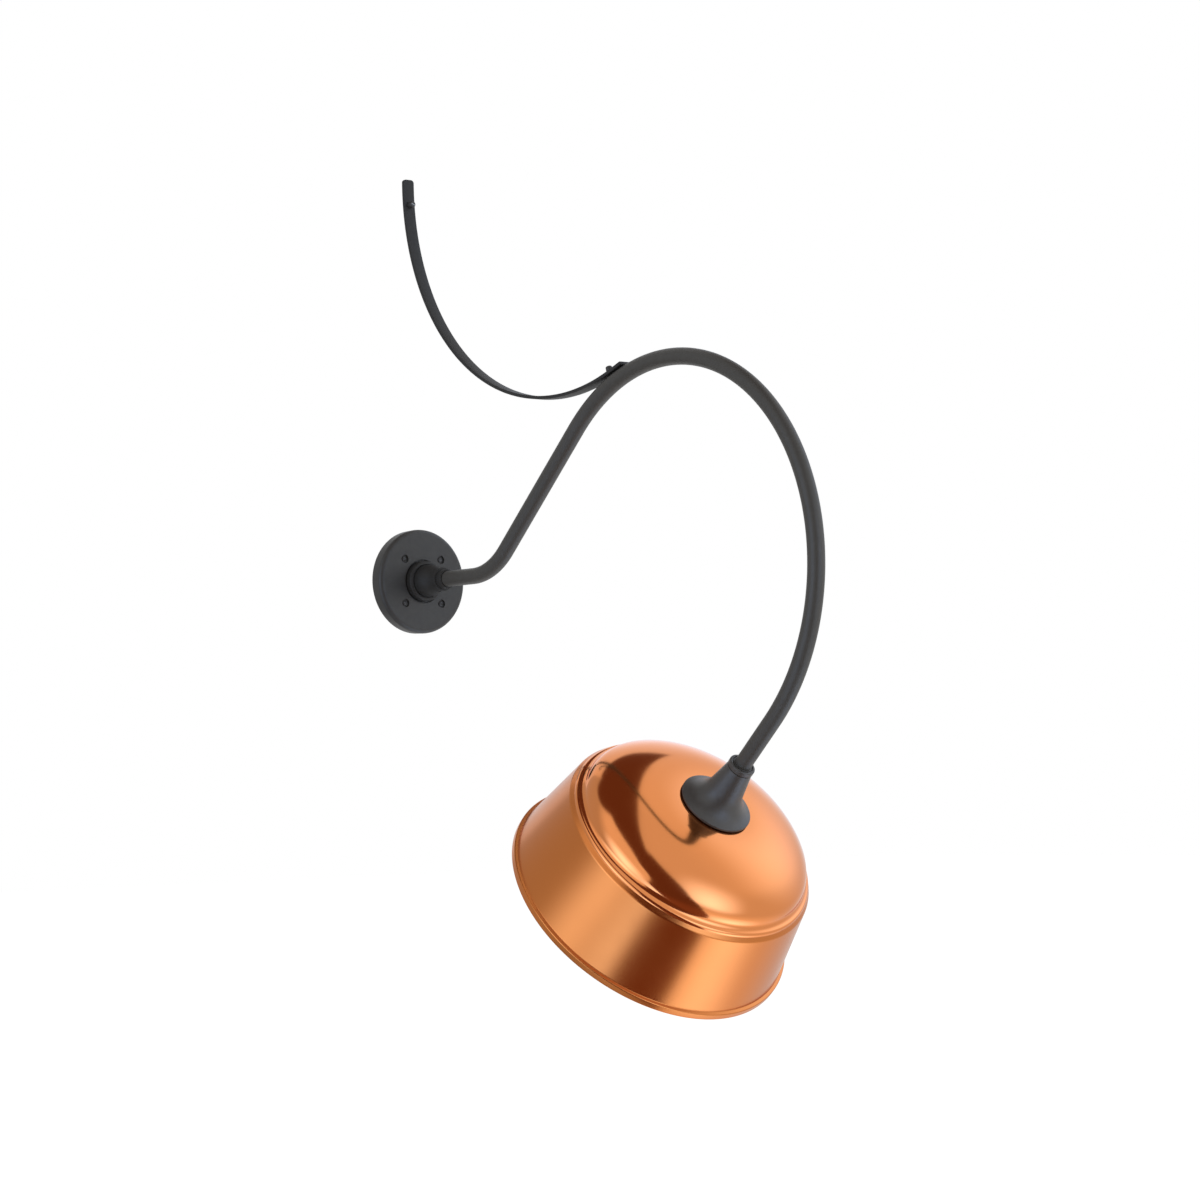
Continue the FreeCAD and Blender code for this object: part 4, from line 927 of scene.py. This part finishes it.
def mirrored_studio(tree):
    """Colour that polished metal sees: a soft box on each side, the unlit end of the room between them
    behind the camera, and a dim ceiling."""
    direction = add_node(tree, "ShaderNodeTexCoord").outputs["Generated"]
    x, y, z = add_node(tree, "ShaderNodeSeparateXYZ", {"Vector": direction}).outputs
    out = add_node(tree, MATH, {0: y, 1: -1.0}, operation="MULTIPLY").outputs[0]
    azimuth = add_node(tree, MATH, {0: x, 1: out}, operation="ARCTAN2").outputs[0]
    azimuth = add_node(tree, MATH, {0: azimuth}, operation="DEGREES").outputs[0]
    elevation = add_node(tree, MATH, {0: z}, operation="ARCSINE").outputs[0]
    elevation = add_node(tree, MATH, {0: elevation}, operation="DEGREES").outputs[0]
    eased = {}
    for angle, changes in ((elevation, BY_ELEVATION), (azimuth, BY_AZIMUTH)):
        for name, (start, end, low, high) in changes.items():
            eased[name] = add_node(tree, "ShaderNodeMapRange",
                                   {"Value": angle, "From Min": start, "From Max": end, "To Min": low,
                                    "To Max": high}, interpolation_type="SMOOTHSTEP").outputs["Result"]

    # The right box stands upright low down and leans over the lamp higher up.
    right_edge = add_node(tree, MATH, {0: eased["right edge, high"], 1: eased["right edge, low"]},
                          operation="ADD").outputs[0]
    past_right = add_node(tree, MATH, {0: azimuth, 1: right_edge}, operation="SUBTRACT").outputs[0]
    facing = (math.sin(BOX_FACING), -math.cos(BOX_FACING), 0)
    aside = add_node(tree, "ShaderNodeVectorMath", {0: direction, 1: facing},
                     operation="DOT_PRODUCT").outputs["Value"]

    # The left box reaches round behind the lamp, and its near edge draws back above and below.
    left_edge = LEFT_EDGE
    for towards, start, bow, limit in LEFT_EDGE_BOWS:
        beyond = add_node(tree, MATH, {0: elevation, 1: towards, 2: -towards * start},
                          operation="MULTIPLY_ADD").outputs[0]
        beyond = add_node(tree, MATH, {0: beyond, 1: 0.0}, operation="MAXIMUM").outputs[0]
        square = add_node(tree, MATH, {0: beyond, 1: beyond}, operation="MULTIPLY").outputs[0]
        left_edge = add_node(tree, MATH, {0: square, 1: bow, 2: left_edge},
                             operation="MULTIPLY_ADD").outputs[0]
        left_edge = add_node(tree, MATH, {0: left_edge, 1: limit}, operation="MAXIMUM").outputs[0]
    past_left = add_node(tree, MATH, {0: left_edge, 1: azimuth}, operation="SUBTRACT").outputs[0]
    edge_behind = add_node(tree, MATH, {0: elevation, 1: BEHIND_SLOPE, 2: BEHIND_EDGE_LEVEL},
                           operation="MULTIPLY_ADD").outputs[0]
    edge_behind = add_node(tree, MATH, {0: edge_behind, 1: BEHIND_EDGE}, operation="MAXIMUM").outputs[0]
    past_behind = add_node(tree, MATH, {0: azimuth, 1: edge_behind}, operation="SUBTRACT").outputs[0]
    distances = {"right edge": past_right, "leaning edge": aside, "left edge": past_left,
                 "edge behind": past_behind}
    inside = {}
    for name, (start, end) in SOFT_EDGES.items():
        inside[name] = add_node(tree, "ShaderNodeMapRange",
                                {"Value": distances[name], "From Min": start, "From Max": end},
                                interpolation_type="SMOOTHSTEP").outputs["Result"]
    right_box = add_node(tree, "ShaderNodeMix",
                         {"Factor": eased["right box leans"], "A": inside["right edge"],
                          "B": inside["leaning edge"]}).outputs["Result"]
    left_box = add_node(tree, MATH, {0: inside["left edge"], 1: inside["edge behind"]},
                        operation="MAXIMUM").outputs[0]
    left_box = add_node(tree, MATH, {0: left_box, 1: eased["left box ends"]},
                        operation="MULTIPLY").outputs[0]
    lit = add_node(tree, MATH, {0: left_box, 1: right_box}, operation="MAXIMUM").outputs[0]

    # Brightness of the boxes, and the cooler, hot middles in them.
    left_level = add_node(tree, MATH, {0: eased["left box, behind"], 1: eased["left box, low"]},
                          operation="MULTIPLY").outputs[0]
    right_level = add_node(tree, "ShaderNodeMix",
                           {"Factor": eased["right box, far"], "A": RIGHT_NEAR_LEVEL,
                            "B": eased["right box, high"]}).outputs["Result"]
    right_level = add_node(tree, MATH, {0: right_level, 1: eased["right box, low"]},
                           operation="MULTIPLY").outputs[0]
    place = add_node(tree, "ShaderNodeCombineXYZ", {"X": azimuth, "Y": elevation}).outputs["Vector"]
    on_right = add_node(tree, MATH, {0: azimuth, 1: BOXES_PART_AT}, operation="GREATER_THAN").outputs[0]
    left_glow = glows(tree, place, LEFT_GLOWS)
    right_glow = glows(tree, place, RIGHT_GLOWS)
    lights = []
    for left, right in ((left_level, right_level), (left_glow, right_glow)):
        both = add_node(tree, "ShaderNodeMix", {"Factor": on_right, "A": left, "B": right}).outputs["Result"]
        lights.append(add_node(tree, MATH, {0: both, 1: lit}, operation="MULTIPLY").outputs[0])
    level, glow = lights
    unlit = add_node(tree, MATH, {0: 1.0, 1: lit}, operation="SUBTRACT").outputs[0]
    gloom = add_node(tree, MATH, {0: unlit, 1: eased["gloom"]}, operation="MULTIPLY").outputs[0]
    colour = add_node(tree, "ShaderNodeMix",
                      {"Factor": gloom, "A": linear("#000000"), "B": linear(GLOOM_COLOUR)},
                      data_type="RGBA").outputs["Result"]
    colour = add_node(tree, "ShaderNodeMix", {"Factor": 1.0, "A": colour, "B": level},
                      data_type="RGBA", blend_type="ADD").outputs["Result"]
    return add_node(tree, "ShaderNodeMix", {"Factor": glow, "A": colour, "B": GLOW_COLOUR},
                    data_type="RGBA", blend_type="ADD", clamp_factor=False).outputs["Result"]


def studio_world():
    """White surroundings to the camera and through glass, a dim even light on matte pieces, and the
    mirrored studio on polished ones."""
    world = bpy.data.worlds.new("studio")
    bpy.context.scene.world = world
    world.use_nodes = True
    tree = world.node_tree
    tree.nodes.clear()
    mirrored = add_node(tree, "ShaderNodeBackground", {"Color": mirrored_studio(tree)})
    plain = add_node(tree, "ShaderNodeBackground", {"Color": linear("#ffffff"), "Strength": ROOM_LIGHT})
    white = add_node(tree, "ShaderNodeBackground", {"Color": linear("#ffffff"), "Strength": 1.0})
    ray = add_node(tree, "ShaderNodeLightPath").outputs
    lit_room = add_node(tree, "ShaderNodeMixShader",
                        {0: ray["Is Glossy Ray"], 1: plain.outputs[0], 2: mirrored.outputs[0]})
    straight = add_node(tree, MATH, {0: ray["Is Camera Ray"], 1: ray["Is Transmission Ray"]},
                        operation="MAXIMUM")
    room = add_node(tree, "ShaderNodeMixShader",
                    {0: straight.outputs[0], 1: lit_room.outputs[0], 2: white.outputs[0]})
    add_node(tree, "ShaderNodeOutputWorld", {"Surface": room.outputs[0]})


LAMPS_AIM = Vector((0, -0.4, 0))


def soft_box(name, place, size, watts):
    """An area lamp that lights the object but isn't seen by the camera or in the metal."""
    data = bpy.data.lights.new(name, "AREA")
    data.shape = "RECTANGLE"
    data.size, data.size_y = size
    data.energy = watts
    lamp = shown(name, data)
    lamp.location = place
    lamp.rotation_euler = (LAMPS_AIM - Vector(place)).to_track_quat("-Z", "Y").to_euler()
    lamp.visible_camera = False
    lamp.visible_glossy = False


# ---------------------------------------------------------------- camera

# The camera stands in front and to the left, a little low, and looks slightly up.
CAMERA_PLACE = (-2.61945, -3.61011, -0.27957)
CAMERA_AZIMUTH = math.radians(-39.179)
CAMERA_ELEVATION = math.radians(-3.215)
CAMERA_ROLL = math.radians(-1.248)
CAMERA_LENS = 99.11
CAMERA_SENSOR = 36
CAMERA_REACH = 100


def camera():
    """The camera at the photograph's viewing angle."""
    back = Vector((math.sin(CAMERA_AZIMUTH) * math.cos(CAMERA_ELEVATION),
                   -math.cos(CAMERA_AZIMUTH) * math.cos(CAMERA_ELEVATION), math.sin(CAMERA_ELEVATION)))
    level = Vector((math.cos(CAMERA_AZIMUTH), math.sin(CAMERA_AZIMUTH), 0))
    right = level * math.cos(CAMERA_ROLL) + back.cross(level) * math.sin(CAMERA_ROLL)
    data = bpy.data.cameras.new("camera")
    data.sensor_width = CAMERA_SENSOR
    data.lens = CAMERA_LENS
    data.clip_end = CAMERA_REACH
    stand = shown("camera", data)
    turned = Matrix((right, back.cross(right), back)).transposed().to_4x4()
    stand.matrix_world = Matrix.Translation(CAMERA_PLACE) @ turned
    bpy.context.scene.camera = stand


floor()
studio_world()
soft_box("key_soft_box", (2.4, -3.0, 0.4), (1.2, 1.6), 60)
soft_box("fill_soft_box", (-3.4, -1.6, 0.6), (1.4, 1.4), 22)
camera()
bpy.context.scene.view_settings.view_transform = "Standard"
